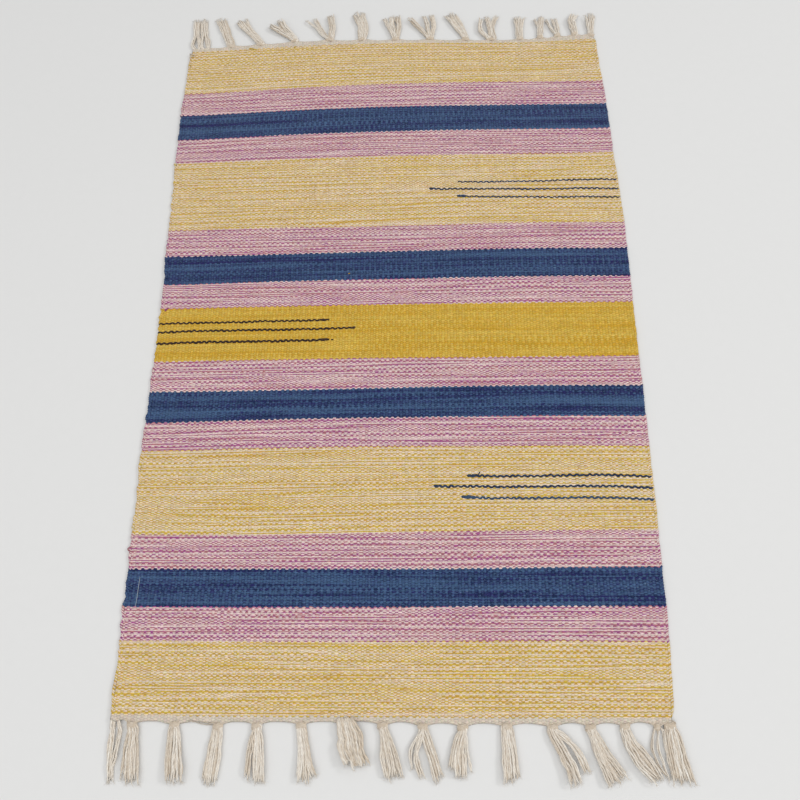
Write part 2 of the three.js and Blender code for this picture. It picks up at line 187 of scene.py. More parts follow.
NEAR_TASSELS = (
    Tassel(-294.4, -455.0, rise=0.5, lift=1.5, knotted=False, locks=(
        (5, (-2.7, -6.0), (-2.1, 5.0), (-2.2, 16.0), (-0.6, 34.6), (2.2, 60.2)),
        (4, (3.7, -1.8), (5.5, 9.0), (4.2, 25.0), (2.4, 38.0), (0.4, 60.2)),
    )),
    Tassel(-275.6, -457.7, rise=2, locks=(
        (4, (-2.6, 4.2), (-4.4, 22.2), (-2.9, 53.4)),
        (5, (0.8, 4.2), (1.4, 29.0), (4.1, 56.0)),
        (6, (4.2, 4.2), (7.5, 29.0), (10.4, 57.3)),
    )),
    Tassel(-229.5, -457.5, rise=5, locks=(
        (5, (-2.2, 4.2), (-2.5, 27.6), (-0.5, 53.9)),
        (4, (0.6, 4.2), (3.1, 28.9), (4.2, 55.2)),
        (5, (3.5, 4.2), (6.7, 22.1), (9.6, 38.4), (10.8, 53.8)),
    )),
    Tassel(-182.5, -458.6, rise=1.5, locks=(
        (5, (-2.8, 2.8), (-6.7, 26.2), (-10.4, 55.8)),
        (5, (0.2, 2.8), (-2.3, 27.5), (-5.9, 56.0)),
        (5, (3.0, 2.8), (2.0, 27.5), (-1.1, 55.9)),
    )),
    Tassel(-140.7, -458.3, rise=3, locks=(
        (4, (-2.5, 4.2), (-6.2, 26.1), (-4.8, 50.9)),
        (5, (0.2, 2.8), (1.2, 27.4), (2.8, 54.2)),
        (6, (2.9, 2.8), (6.9, 27.4), (8.1, 54.8)),
    )),
    Tassel(-93.3, -457.3, rise=3.5, locks=(
        (5, (-1.2, 3.5), (2.3, 28.0), (0.4, 52.8)),
        (5, (0.6, 3.5), (5.6, 28.0), (7.4, 55.3)),
        (5, (2.7, 3.4), (8.3, 28.0), (15.6, 48.7)),
    )),
    Tassel(-46.2, -453.6, rise=7, lift=4.5, knotted=False, girth=1.2, locks=(
        (7, (-6.1, -4.0), (-1.6, 13.8), (-2.3, 23.3), (7.7, 39.4)),
        (8, (-0.0, -4.0), (6.2, 15.1), (9.4, 27.3), (16.7, 41.3)),
        (6, (5.3, -4.0), (13.1, 10.9), (16.4, 27.2), (22.4, 41.3)),
    )),
    Tassel(-6.8, -456.8, rise=3, locks=(
        (3, (-1.6, 3.4), (-0.5, 27.9), (5.0, 53.8)),
        (6, (0.5, 3.4), (5.5, 27.9), (10.3, 49.8)),
        (6, (2.9, 3.4), (10.7, 22.4), (18.6, 48.4)),
    )),
    Tassel(35.4, -457.9, rise=2, locks=(
        (2, (-2.6, 4.1), (-12.6, 22.5), (-10.7, 42.5)),
        (4, (-1.4, 4.1), (-7.2, 27.9), (-0.9, 48.0)),
        (8, (2.2, 3.4), (9.7, 27.7), (17.1, 51.3)),
    )),
    Tassel(77.4, -458.4, rise=3, locks=(
        (4, (-3.3, 4.8), (-10.3, 24.4), (-12.9, 40.4)),
        (5, (-1.2, 4.1), (-5.6, 25.8), (-7.0, 47.0)),
        (5, (1.2, 4.1), (-0.5, 25.7), (-0.3, 47.2)),
        (2, (3.9, 4.1), (4.5, 24.3), (7.3, 40.5)),
    )),
    Tassel(123.6, -457.4, rise=3, locks=(
        (6, (-2.4, 3.4), (-2.3, 27.7), (-1.7, 52.7)),
        (4, (0.3, 3.4), (1.8, 27.6), (2.8, 50.1)),
        (5, (3.0, 3.4), (6.0, 26.3), (8.8, 50.7)),
    )),
    Tassel(171.0, -457.8, rise=5, locks=(
        (9, (-0.9, 2.7), (8.1, 21.5), (15.7, 37.4), (20.0, 53.0)),
        (5, (3.2, 2.7), (14.6, 12.1), (24.3, 24.1), (33.9, 44.4)),
    )),
    Tassel(210.1, -457.6, rise=4, locks=(
        (9, (0.1, 2.7), (7.5, 24.1), (13.5, 37.3), (18.9, 52.9)),
        (6, (3.4, 2.7), (12.8, 21.4), (20.7, 33.3), (31.9, 48.9)),
    )),
    Tassel(245.5, -456.7, rise=4, locks=(
        (7, (-0.9, 3.4), (3.3, 18.1), (12.5, 34.0), (28.6, 51.4)),
        (6, (2.9, 3.4), (9.7, 16.8), (21.2, 31.3), (32.4, 49.5)),
    )),
    Tassel(278.4, -456.5, rise=2, girth=0.7, locks=(
        (2, (-3.0, 2.0), (-6.2, 20.8), (-2.0, 36.6), (6.8, 47.6)),
        (2, (0.6, 4.0), (-0.2, 20.8), (3.2, 35.3), (9.2, 49.6)),
        (2, (5.4, 4.0), (8.1, 19.4), (8.3, 32.6), (10.6, 49.6)),
    )),
    Tassel(291.6, -455.7, rise=2, locks=(
        (7, (-1.9, 3.4), (-1.0, 29.4), (2.6, 54.1)),
        (7, (1.5, 3.4), (5.6, 29.3), (9.3, 54.1)),
        (4, (4.7, 3.3), (10.5, 29.3), (16.8, 54.3)),
    )),
)
FAR_TASSELS = (
    Tassel(-289.7, 452.1, rise=0.5, knotted=False, locks=(
        (4, (-0.7, 0.6), (-7.1, 9.7), (-4.9, 27.0), (-7.5, 59.9)),
        (4, (3.6, 0.4), (3.5, 10.5), (-0.2, 32.2), (-3.1, 59.7)),
    )),
    Tassel(-277.0, 452.9, rise=0.5, knotted=False, locks=(
        (5, (-3.2, 0.1), (-6.5, 8.3), (-6.0, 31.2), (-10.2, 58.7)),
        (5, (3.2, -0.1), (3.8, 7.8), (-1.2, 30.9), (-4.1, 58.4)),
    )),
    Tassel(-238.9, 457.8, rise=1, locks=(
        (6, (-2.5, 1.4), (-13.5, 27.5), (-23.0, 53.1)),
        (7, (2.2, 2.0), (-7.5, 27.2), (-13.4, 52.6)),
    )),
    Tassel(-195.3, 459.8, rise=2, locks=(
        (6, (-2.7, 2.8), (-20.5, 25.1), (-36.4, 45.8)),
        (7, (1.1, 3.4), (-14.5, 24.8), (-27.2, 46.4)),
    )),
    Tassel(-144.5, 464.1, rise=4, locks=(
        (6, (-2.2, 2.2), (-21.8, 17.1), (-38.3, 28.7)),
        (7, (0.7, 2.6), (-13.3, 19.4), (-25.5, 38.5)),
    )),
    Tassel(-92.6, 463.8, rise=2, locks=(
        (2, (-4.9, 1.8), (-23.1, 23.1), (-36.0, 35.9)),
        (4, (-2.8, 2.3), (-14.0, 20.0), (-23.8, 40.8)),
        (8, (1.8, 3.1), (3.7, 24.5), (-1.6, 44.4)),
    )),
    Tassel(-44.7, 462.1, rise=2, locks=(
        (7, (-2.1, 2.2), (-2.5, 24.2), (-12.4, 49.7)),
        (7, (2.5, 2.0), (3.8, 23.9), (-3.0, 50.1)),
    )),
    Tassel(4.2, 460.4, rise=3, locks=(
        (4, (-3.2, 3.6), (-11.3, 24.0), (-16.9, 38.4)),
        (6, (-0.2, 3.5), (-4.1, 23.7), (-6.3, 42.7)),
        (5, (2.7, 3.3), (5.2, 23.2), (2.6, 41.7)),
    )),
    Tassel(54.4, 459.6, rise=3, locks=(
        (5, (-3.9, 2.8), (-17.2, 21.3), (-29.7, 37.3)),
        (4, (-0.2, 2.7), (-3.7, 22.0), (-8.1, 42.5)),
        (5, (3.6, 2.5), (6.4, 21.5), (2.0, 42.2)),
    )),
    Tassel(106.2, 455.1, rise=2, locks=(
        (3, (-2.2, 2.2), (-16.0, 24.7), (-30.0, 47.4)),
        (6, (-0.5, 2.7), (-9.8, 24.4), (-23.7, 49.3)),
        (5, (2.4, 2.5), (-5.0, 24.1), (-15.7, 47.8)),
    )),
    Tassel(142.3, 453.4, rise=3, locks=(
        (4, (-4.1, 1.5), (-13.9, 16.5), (-12.7, 39.2)),
        (5, (-0.3, 4.0), (-1.6, 23.9), (-5.1, 40.7)),
        (5, (4.3, 3.7), (2.6, 23.7), (9.2, 42.2)),
    )),
    Tassel(184.6, 452.8, rise=2, locks=(
        (8, (-0.9, 2.7), (-0.7, 22.5), (-1.5, 39.1)),
        (3, (2.8, 2.5), (4.1, 19.6), (7.2, 37.6)),
    )),
    Tassel(213.4, 454.1, rise=2, locks=(
        (3, (-1.3, 2.7), (-1.2, 17.2), (-6.8, 34.0)),
        (6, (0.8, 2.6), (2.2, 19.7), (4.1, 37.0)),
    )),
    Tassel(238.1, 456.3, rise=1.5, locks=(
        (3, (-2.5, 2.0), (-8.3, 14.1), (-15.0, 32.6)),
        (2, (-0.0, 2.4), (-2.8, 16.5), (-6.7, 32.2)),
        (3, (1.6, 1.8), (2.1, 16.3), (-0.9, 32.4)),
    )),
    Tassel(262.8, 457.8, rise=3, locks=(
        (8, (1.1, 1.0), (-2.0, 13.8), (-2.5, 24.5), (4.1, 34.3)),
    )),
    Tassel(286.0, 454.1, rise=2, locks=(
        (2, (-2.9, 2.0), (-3.3, 19.1), (-5.7, 35.2)),
        (7, (0.2, 1.8), (0.8, 18.9), (4.5, 38.7)),
    )),
)


# Loose threads


class Thread(NamedTuple):
    """A thread end that has worked loose: its colour, its radius, and the points it runs through,
    each across, along, and above the cloth or the floor."""

    colour: str
    radius: float
    points: tuple


THREADS = (
    Thread("natural", 0.5, (
        (-214.0, -452.9, 0.4), (-207.3, -454.5, 1.0), (-198.3, -456.7, 1.2), (-188.6, -457.5, 0.9),
    )),
    Thread("natural", 0.5, (
        (-202.0, -454.2, 1.0), (-196.0, -455.2, 1.2), (-190.0, -455.8, 1.3), (-185.0, -455.4, 1.0),
    )),
    Thread("yellow", 0.9, (
        (-211.0, 452.0, 0.2), (-207.5, 451.0, 0.5), (-203.0, 449.6, 0.4), (-198.5, 448.5, 0.0),
    )),
    Thread("yellow", 1.0, ((-145.0, 451.6, 0.1), (-143.5, 451.3, 0.3), (-142.0, 451.0, 0.1))),
    Thread("natural", 0.6, (
        (-290.0, 441.5, 0.2), (-293.2, 443.3, 0.9), (-296.6, 443.6, 1.2), (-300.4, 446.6, 0.8),
    )),
    Thread("natural", 0.5, (
        (-291.0, 439.5, 0.2), (-294.4, 440.3, 0.9), (-297.0, 438.4, 0.6), (-296.8, 436.8, 0.3),
    )),
    Thread("lint", 0.25, (
        (-286.4, -337.7, 0.1), (-285.6, -325.0, 0.3), (-285.3, -314.0, 0.3), (-284.9, -303.5, 0.1),
    )),
    Thread("navy", 0.6, ((102.0, -190.4, 0.4), (103.6, -188.0, 1.2), (105.0, -185.4, 0.5))),
    Thread("umber", 1.0, ((-75.2, -15.0, 0.0), (-73.8, -15.0, 0.3), (-72.4, -15.0, 0.0))),
    Thread("magenta", 1.1, ((-291.2, 28.8, 0.1), (-290.0, 30.8, 0.6), (-287.2, 33.2, 0.2))),
    Thread("mustard", 0.7, ((-55.8, 77.3, 0.0), (-54.7, 77.5, 0.2), (-53.6, 77.3, 0.0))),
    Thread("pink", 0.8, (
        (-297.5, -269.8, 0.0), (-301.0, -270.6, -0.6), (-302.9, -273.0, -0.9),
        (-297.5, -276.2, 0.0),
    )),
)


# Sizes and colours that a user would change


def length(name, description, millimetres):
    """A property that holds a length."""
    size = millimetres * MM
    return FloatProperty(
        name=name, description=description, default=size, min=0, unit="LENGTH", precision=5
    )


def colour(name, description, red, green, blue):
    """A property that holds a colour."""
    shown = linear(red, green, blue)
    return FloatVectorProperty(
        name=name, description=description, default=shown, min=0, max=1, subtype="COLOR"
    )


def power(name, description, watts):
    """A property that holds a lamp's power."""
    return FloatProperty(name=name, description=description, default=watts, unit="POWER")


class RugWeaveSizes(bpy.types.PropertyGroup):
    """Sizes of the cloth."""

    thickness: length("Thickness", "Thickness of the cloth at its ribs", 3.0)
    warp_pitch: length("Warp pitch", "From one warp to the next, across the rug, on average", 3.56)
    pick_pitch: length("Pick pitch", "From one pick of weft to the next, along the rug", 1.4)
    groove: length("Groove", "Depth of the grooves between the warps' ribs", 0.3)
    bead: length("Bead relief", "How far a bead of weft stands out", 0.45)
    reel: length("Reel", "Length round the reel that some of the yarn was dyed on", 1371.6)
    selvedge: length("Selvedge radius", "Half the width of the cord along each side", 2.4)
    side_reach: length(
        "Side lift reach", "How far in from a side the cloth lifts off the floor", 38.0
    )
    hem_reach: length("Hem lift reach", "How far in from a hem the cloth lifts off the floor", 12.0)


class RugYarnSizes(bpy.types.PropertyGroup):
    """Sizes of the tassels' yarns."""

    diameter: length("Yarn diameter", "Diameter of one yarn of a tassel", 1.95)
    twist: length("Twist", "Length in which the two plies turn once about each other", 13.0)
    knot_length: length("Knot length", "Length of a knot along its tassel", 6.4)


class RugColours(bpy.types.PropertyGroup):
    """Colours of the yarns and the floor."""

    yellow: colour("Yellow", "Coloured strand of the yellow bands", 214, 181, 68)
    gold: colour("Gold", "What the yellow strand turns to in places", 206, 162, 66)
    cream: colour("Cream", "Pale strand of the yellow bands", 236, 216, 192)
    pink: colour("Pink", "Coloured strand of the pink bands", 180, 113, 123)
    magenta: colour("Magenta", "What the pink strand turns to in places", 163, 79, 138)
    blush: colour("Blush", "Pale strand of the pink bands", 234, 209, 204)
    navy: colour("Navy", "Dark strand of the blue bands", 14, 33, 76)
    indigo: colour("Indigo", "What the dark blue strand turns to in places", 33, 34, 92)
    steel: colour("Steel blue", "Light strand of the blue bands", 68, 96, 134)
    mustard: colour("Mustard", "Dark shade of the mustard yarn", 208, 162, 44)
    ochre: colour("Ochre", "Light shade of the mustard yarn", 222, 187, 84)
    natural: colour("Natural", "Undyed cotton of the hems", 221, 208, 191)
    yarn: colour("Yarn", "Undyed cotton of the tassels", 253, 247, 237)
    inlay: colour("Inlay", "Dark blue yarn of the inlaid lines on the right", 30, 33, 60)
    slate: colour("Slate", "What the dark blue yarn turns to in places", 72, 98, 128)
    umber: colour("Umber", "Dark brown yarn of the inlaid lines on the left", 34, 24, 24)
    bark: colour("Bark", "What the dark brown yarn turns to in places", 90, 64, 50)
    lint: colour("Lint", "Pale thread on a blue band", 196, 208, 220)
    floor: colour("Floor", "The pale floor", 226, 226, 225)


class RugStage(bpy.types.PropertyGroup):
    """The camera and the lights."""

    lens: FloatProperty(
        name="Lens", description="Focal length, for a sensor 36 mm wide", default=31.576
    )
    softbox: power("Softbox", "Strength of the large lamp overhead", 43.5)
    side: power("Side lamp", "Strength of the lamp on the right", 76.0)
    sky: FloatProperty(
        name="Sky", description="Strength of the even light from all round", default=0.528
    )


# Shader nodes


def taking(operation):
    """A method that adds a Math node, which takes the value first and what it is given next."""
    return lambda value, *others: value.shader.math(operation, value, *others)


class Value:
    """A number that changes over the surface. Arithmetic on it adds the Math nodes for it."""

    def __init__(self, shader, output):
        self.shader = shader
        self.output = output

    __add__ = __radd__ = taking("ADD")
    __sub__ = taking("SUBTRACT")
    __mul__ = __rmul__ = taking("MULTIPLY")
    __truediv__ = taking("DIVIDE")
    __abs__ = taking("ABSOLUTE")
    __gt__ = taking("GREATER_THAN")
    floor = taking("FLOOR")
    wrapped = taking("FLOORED_MODULO")  # what is left after whole steps, never below 0
    sign = taking("SIGN")
    sine = taking("SINE")
    cosine = taking("COSINE")
    root = taking("SQRT")
    at_least = taking("MAXIMUM")
    at_most = taking("MINIMUM")

    def __rsub__(self, other):
        return self.shader.math("SUBTRACT", other, self)

    def clamped(self):
        """The value held between 0 and 1."""
        return self.at_least(0.0).at_most(1.0)

    def rising(self, low, high):
        """0 at low and 1 at high, straight between them and level beyond."""
        return ((self - low) / (high - low)).clamped()


class Shader:
    """A new material and the nodes in it."""

    def __init__(self, name):
        self.material = bpy.data.materials.new(name)
        self.material.use_nodes = True
        self.tree = self.material.node_tree
        self.tree.nodes.clear()

    def node(self, kind, settings=None, inputs=None):
        """A node of this kind. Its settings are set first, and then its sockets, to plain values or
        to links."""
        made = self.tree.nodes.new(kind)
        for name, setting in (settings or {}).items():
            setattr(made, name, setting)
        for socket, value in (inputs or {}).items():
            source = value.output if isinstance(value, Value) else value
            if isinstance(source, bpy.types.NodeSocket):
                self.tree.links.new(source, made.inputs[socket])
            else:
                made.inputs[socket].default_value = source
        return made

    def math(self, operation, *terms):
        """A Math node that takes the terms in their order."""
        node = self.node("ShaderNodeMath", {"operation": operation}, dict(enumerate(terms)))
        return Value(self, node.outputs[0])

    def attribute(self, name):
        """A number that the mesh stores at each vertex."""
        node = self.node("ShaderNodeAttribute", {"attribute_name": name})
        return Value(self, node.outputs["Fac"])

    def place(self):
        """The point in the rug's own frame, in metres."""
        return self.node("ShaderNodeTexCoord").outputs["Object"]

    def map_place(self, name):
        """The two numbers of a UV map."""
        point = self.node("ShaderNodeUVMap", {"uv_map": name}).outputs["UV"]
        parts = self.node("ShaderNodeSeparateXYZ", inputs={0: point})
        return Value(self, parts.outputs[0]), Value(self, parts.outputs[1])

    def vector(self, x, y, z=0.0):
        """A vector of three numbers."""
        return self.node("ShaderNodeCombineXYZ", inputs={0: x, 1: y, 2: z}).outputs[0]

    def noise(self, point, scale=1.0, detail=0.0, dimensions="3D"):
        """Smooth noise round 0.5 at a point."""
        settings = {"noise_dimensions": dimensions}
        inputs = {"Vector": point, "Scale": scale, "Detail": detail}
        return Value(self, self.node("ShaderNodeTexNoise", settings, inputs).outputs[0])

    def flat_noise(self, x, y, detail=0.0):
        """Smooth noise round 0.5 over two numbers."""
        return self.noise(self.vector(x, y), detail=detail, dimensions="2D")

    def white(self, x, y):
        """An even random number from 0 to 1 for each pair of whole numbers."""
        inputs = {"Vector": self.vector(x, y)}
        node = self.node("ShaderNodeTexWhiteNoise", {"noise_dimensions": "2D"}, inputs)
        return Value(self, node.outputs[0])

    def mix(self, share, first, second, blend="MIX"):
        """The first colour where share is 0 and the second where it is 1."""
        settings = {"data_type": "RGBA", "blend_type": blend}
        inputs = {0: share, 6: first, 7: second}
        return self.node("ShaderNodeMix", settings, inputs).outputs[2]

    def tinted(self, shown, factor):
        """A colour made lighter or darker by a factor."""
        return self.mix(1.0, shown, self.vector(factor, factor, factor), "MULTIPLY")

    def mottled(self, shown, scale, amount):
        """A colour whose red, green and blue each vary by an amount of their own noise."""
        settings = {"noise_dimensions": "3D"}
        inputs = {"Vector": self.place(), "Scale": scale, "Detail": 1.0}
        noise = self.node("ShaderNodeTexNoise", settings, inputs).outputs["Color"]
        inputs = {0: noise, 1: (amount,) * 3, 2: (1.0 - amount / 2,) * 3}
        factor = self.node("ShaderNodeVectorMath", {"operation": "MULTIPLY_ADD"}, inputs).outputs[0]
        return self.mix(1.0, shown, factor, "MULTIPLY")

    def bump(self, height, distance):
        """The normal of a surface that stands out by the height times the distance."""
        inputs = {"Height": height, "Distance": distance, "Strength": 1.0}
        return self.node("ShaderNodeBump", inputs=inputs).outputs[0]

    def finish(self, base, roughness, constants, normal=None):
        """Joins the colour, roughness and normal to a Principled shader and gives the material."""
        inputs = {"Base Color": base, "Roughness": roughness, **constants}
        if normal is not None:
            inputs["Normal"] = normal
        principled = self.node("ShaderNodeBsdfPrincipled", inputs=inputs)
        self.node("ShaderNodeOutputMaterial", inputs={"Surface": principled.outputs[0]})
        return self.material


COTTON_SHEEN = {"Sheen Weight": 0.15, "Sheen Roughness": 0.5, "Specular IOR Level": 0.2}


class Weave(NamedTuple):
    """Where a point lies in the weave."""

    pick: Value  # which pick shows
    warp: Value  # which warp it passes over
    off: Value  # from the middle of that warp, in warps
    above: Value  # from the pick's lower edge to its upper edge, -1 to 1
    across: Value  # from the left, in warps
    along: Value  # from the near hem, in picks


def weave_places(shader):
    """Finds the bead that a point lies on. Over its own warp a bead reaches one pick to each side
    of its pick. From a quarter of a warp to three quarters off that warp it narrows to a point, and
    the bead of the next warp, one pick up or down, takes its place. Beads are a little uneven:
    noise moves the place that is looked up across and along."""
    across, along = shader.map_place("weave")
    drift = shader.flat_noise(across * 0.55, along * 0.7) - 0.5
    slip = shader.flat_noise(across * 0.5 + 40.0, along * 0.45) - 0.5
    moved = across + drift * 0.75
    lifted = along + slip * 0.6
    warp = moved.floor()
    odd = warp.wrapped(2.0)
    off = moved - warp - 0.5
    pick = ((lifted - odd) / 2.0 + 0.5).floor() * 2.0 + odd
    above = lifted - pick
    beyond = abs(above) > (1.5 - abs(off) * 2.0)
    pick = pick + beyond * above.sign()
    above = above - beyond * above.sign()
    off = off - beyond * off.sign()
    reach = (1.5 - abs(off) * 2.0).clamped().at_least(0.05)
    return Weave(pick, (moved - off).floor(), off, above / reach, across, along)


# Bands whose yarn was dyed unevenly round its reel, instead of plied from two colours.
REEL_DYED = ("blue", "mustard")


def band_strands(shader, pick):
    """The two colours of a pick, each band's own from its first pick on, what the first turns to in
    places, and 1 where the band's yarn is dyed on the reel or 0 where it is plied."""
    scene = bpy.context.scene
    colours = scene.rug_colours
    strands = {
        "yellow": (colours.yellow, colours.cream, colours.gold),
        "pink": (colours.pink, colours.blush, colours.magenta),
        "blue": (colours.navy, colours.steel, colours.indigo),
        "mustard": (colours.mustard, colours.ochre, colours.mustard),
        "hem": (colours.natural, colours.natural, colours.natural),
    }
    first, second, third = ((*strand, 1) for strand in strands["hem"])
    dyed = 0.0
    was_dyed = False
    for band, start in zip(BANDS, first_picks(scene.rug_weave.pick_pitch)):
        reached = pick > start - 0.5
        one, other, accent = ((*strand, 1) for strand in strands[band.colour])
        first = shader.mix(reached, first, one)
        second = shader.mix(reached, second, other)
        third = shader.mix(reached, third, accent)
        is_dyed = band.colour in REEL_DYED
        if is_dyed != was_dyed:
            dyed = reached * (1.0 if is_dyed else -1.0) + dyed
        was_dyed = is_dyed
    return first, second, third, dyed


def reel_tone(pick, across, warps):
    """How light a yarn that was dyed on the reel is: half of 1 plus the cosine of its length since
    the first pick, in turns of the reel. A pick runs to the right and the next one back."""
    sizes = bpy.context.scene.rug_weave
    reel = sizes.reel / sizes.warp_pitch
    back = pick.wrapped(2.0)
    travelled = pick * float(warps) + across * (1.0 - back) + (float(warps) - across) * back
    return (travelled * (2.0 * math.pi / reel)).cosine() * 0.5 + 0.5


# How the two strands of a pick turn about each other: how many turns the noise that neighbouring
# picks share makes, how many each pick's own makes, how steeply the strands change sides, and how
# softly one passes into the other.
SHARED_TURNS = 3.0
OWN_TURNS = 0.85
TURN_STEEPNESS = 4.5
STRAND_SOFTNESS = 0.38


def weave_material(name, warps):
    """Weft-faced cotton. Along a pick the two strands turn slowly about each other: a point shows
    the first strand where above times the order, which is the turn's cosine made steeper, plus a
    share of the turn's sine is over 0. So the strands lie side by side, change sides, or one
    covers more. Neighbouring picks turn alike. Beads are rounded, and darker in the gaps."""
    scene = bpy.context.scene
    shader = Shader(name)
    weave = weave_places(shader)
    pick, off, above = weave.pick, weave.off, weave.above
    pitch = scene.rug_weave.warp_pitch / MM

    def noise_over(length, down, detail=0.0):
        """Noise that changes over a length in millimetres across the rug, and with down."""
        return shader.flat_noise(weave.across * (pitch / length), down, detail)

    group = noise_over(640.0, pick * 0.17)
    patch = noise_over(90.0, pick * 0.45)
    own = noise_over(380.0, pick * 7.31)
    turn = group * (2.0 * math.pi * SHARED_TURNS) + own * (2.0 * math.pi * OWN_TURNS)
    order = (turn.cosine() * TURN_STEEPNESS).at_least(-1.0).at_most(1.0)
    lean = above * order + turn.sine() * 0.13 + (patch - 0.5) * 0.65
    shown = lean.rising(-STRAND_SOFTNESS, STRAND_SOFTNESS)
    first, second, accent, dyed = band_strands(shader, pick)
    stained = noise_over(9.0, pick * 5.17)
    first = shader.mix((stained * 0.6 + own * 0.4).rising(0.42, 0.62), first, accent)
    fleck = noise_over(5.0, weave.along * 1.3, detail=2.0)
    # Painted shade in the grooves between warps: 0 over a warp's middle, 1 at its border.
    warp_groove_shade = abs(weave.across.wrapped(1.0) - 0.5).rising(0.2, 0.5)
    uneven = reel_tone(pick, weave.across, warps) * 0.56 + shown * 0.44
    uneven = uneven + (own - 0.5) * 1.35 + (fleck - 0.5) * 1.6 + (patch - 0.5) * 0.7
    column = shader.white(weave.warp, 0.0)
    # In the reel-dyed bands more of the darker strand shows in the grooves between warps, as
    # painted shade.
    uneven = uneven + (column - 0.5) * 0.2 + (warp_groove_shade - 0.3) * 0.28
    strand = shader.mix((shown * (1.0 - dyed) + uneven * dyed).clamped(), second, first)

    bead_light = shader.white(pick, weave.warp)
    speck = shader.noise(shader.place(), 750.0, 1.0).rising(0.68, 0.76)
    strand = shader.mix(speck * dyed * 0.22, strand, (*scene.rug_colours.lint, 1))
    streak = noise_over(45.0, pick * 3.7 + shown * 11.0)
    # Painted shade: the gaps round each bead and the seam where a pick's two strands meet are
    # darker. The seam also dips in the bump.
    bead_gap_shade = abs(above).rising(0.7, 1.0).at_least(abs(off).rising(0.55, 0.75))
    seam = 1.0 - abs(lean).rising(0.0, 0.3)
    fuzz = shader.noise(shader.place(), 2600.0, 2.0)
    # Painted shade in the crease where the cloth meets a selvedge, half as light right at its inner
    # side.
    selvedge_crease_shade = abs(weave.across).at_most(abs(weave.across - float(warps))).rising(0.05, 0.4)
    # The edge attribute is the painted shade along the hems' outer rim.
    edge = shader.attribute("edge")
    # light is random tone of beads, streaks, columns and fibres, times the painted shade of the
    # gaps, seams, grooves, selvedge crease and hems' rim.
    light = (0.88 + bead_light * 0.16) * (0.87 + streak * 0.26)
    light = light * (1.0 - bead_gap_shade * 0.36) * (1.0 - seam * 0.1)
    light = light * (1.0 + (column - 0.5) * 0.03) * (1.0 - warp_groove_shade * (0.02 + dyed * 0.03))
    light = light * (0.9 + fuzz * 0.2) * (0.5 + selvedge_crease_shade * 0.5) * (1.0 - edge * 0.3)
    base = shader.mottled(shader.tinted(strand, light), 420.0, 0.25)

    across_round = (1.0 - above * above * 0.95).at_least(0.0).root()
    along_round = 1.0 - off * off * 1.7
    height = across_round * along_round - seam * 0.25 + fuzz * 0.12
    normal = shader.bump(height, scene.rug_weave.bead)
    roughness = 0.82 + fuzz * 0.14
    return shader.finish(base, roughness, COTTON_SHEEN, normal)


def yarn_material(name, dark, pale, contrast, slubs=0.3):
    """Two-ply yarn. The mesh stores how high each point stands on its ply and a tone for each yarn,
    and slubs is the share of the tone that changes along it instead. The grooves between plies are
    darker, and fine fibres run over all."""
    shader = Shader(name)
    ply = shader.attribute("ply")
    tone = shader.attribute("tone")
    fuzz = shader.noise(shader.place(), 2200.0, 3.0)
    slub = shader.noise(shader.place(), 240.0, 1.0)
    share = (tone * (1.0 - slubs) + slub.rising(0.3, 0.7) * slubs).clamped()
    base = shader.mix(share, (*dark, 1), (*pale, 1))
    # Painted shade in the grooves between plies, by the contrast, times the fibres' random tone.
    light = 1.0 - (1.0 - ply) * contrast
    base = shader.tinted(base, light * (0.86 + fuzz * 0.28))
    normal = shader.bump(fuzz, 0.25 * MM)
    return shader.finish(base, 0.84 + fuzz * 0.12, COTTON_SHEEN, normal)


def floor_material(shown):
    """A plain pale floor, with a faint even grain."""
    shader = Shader("pale_floor")
    grain = shader.noise(shader.place(), 90.0, 2.0)
    base = shader.tinted((*shown, 1), 0.99 + grain * 0.02)
    return shader.finish(base, 0.75 + grain * 0.1, {"Specular IOR Level": 0.1})


# Meshes


def grid_faces(rows, columns, closed=False, flipped=False):
    """Corners of the quads of a grid of rows and columns, counted row by row. A closed grid's last
    column joins its first."""
    row = np.arange(rows - 1)[:, None]
    column = np.arange(columns if closed else columns - 1)[None, :]
    following = (column + 1) % columns
    corners = [
        row * columns + column,
        row * columns + following,
        (row + 1) * columns + following,
        (row + 1) * columns + column,
    ]
    faces = np.stack(np.broadcast_arrays(*corners), axis=-1).reshape(-1, 4)
    return faces[:, ::-1] if flipped else faces


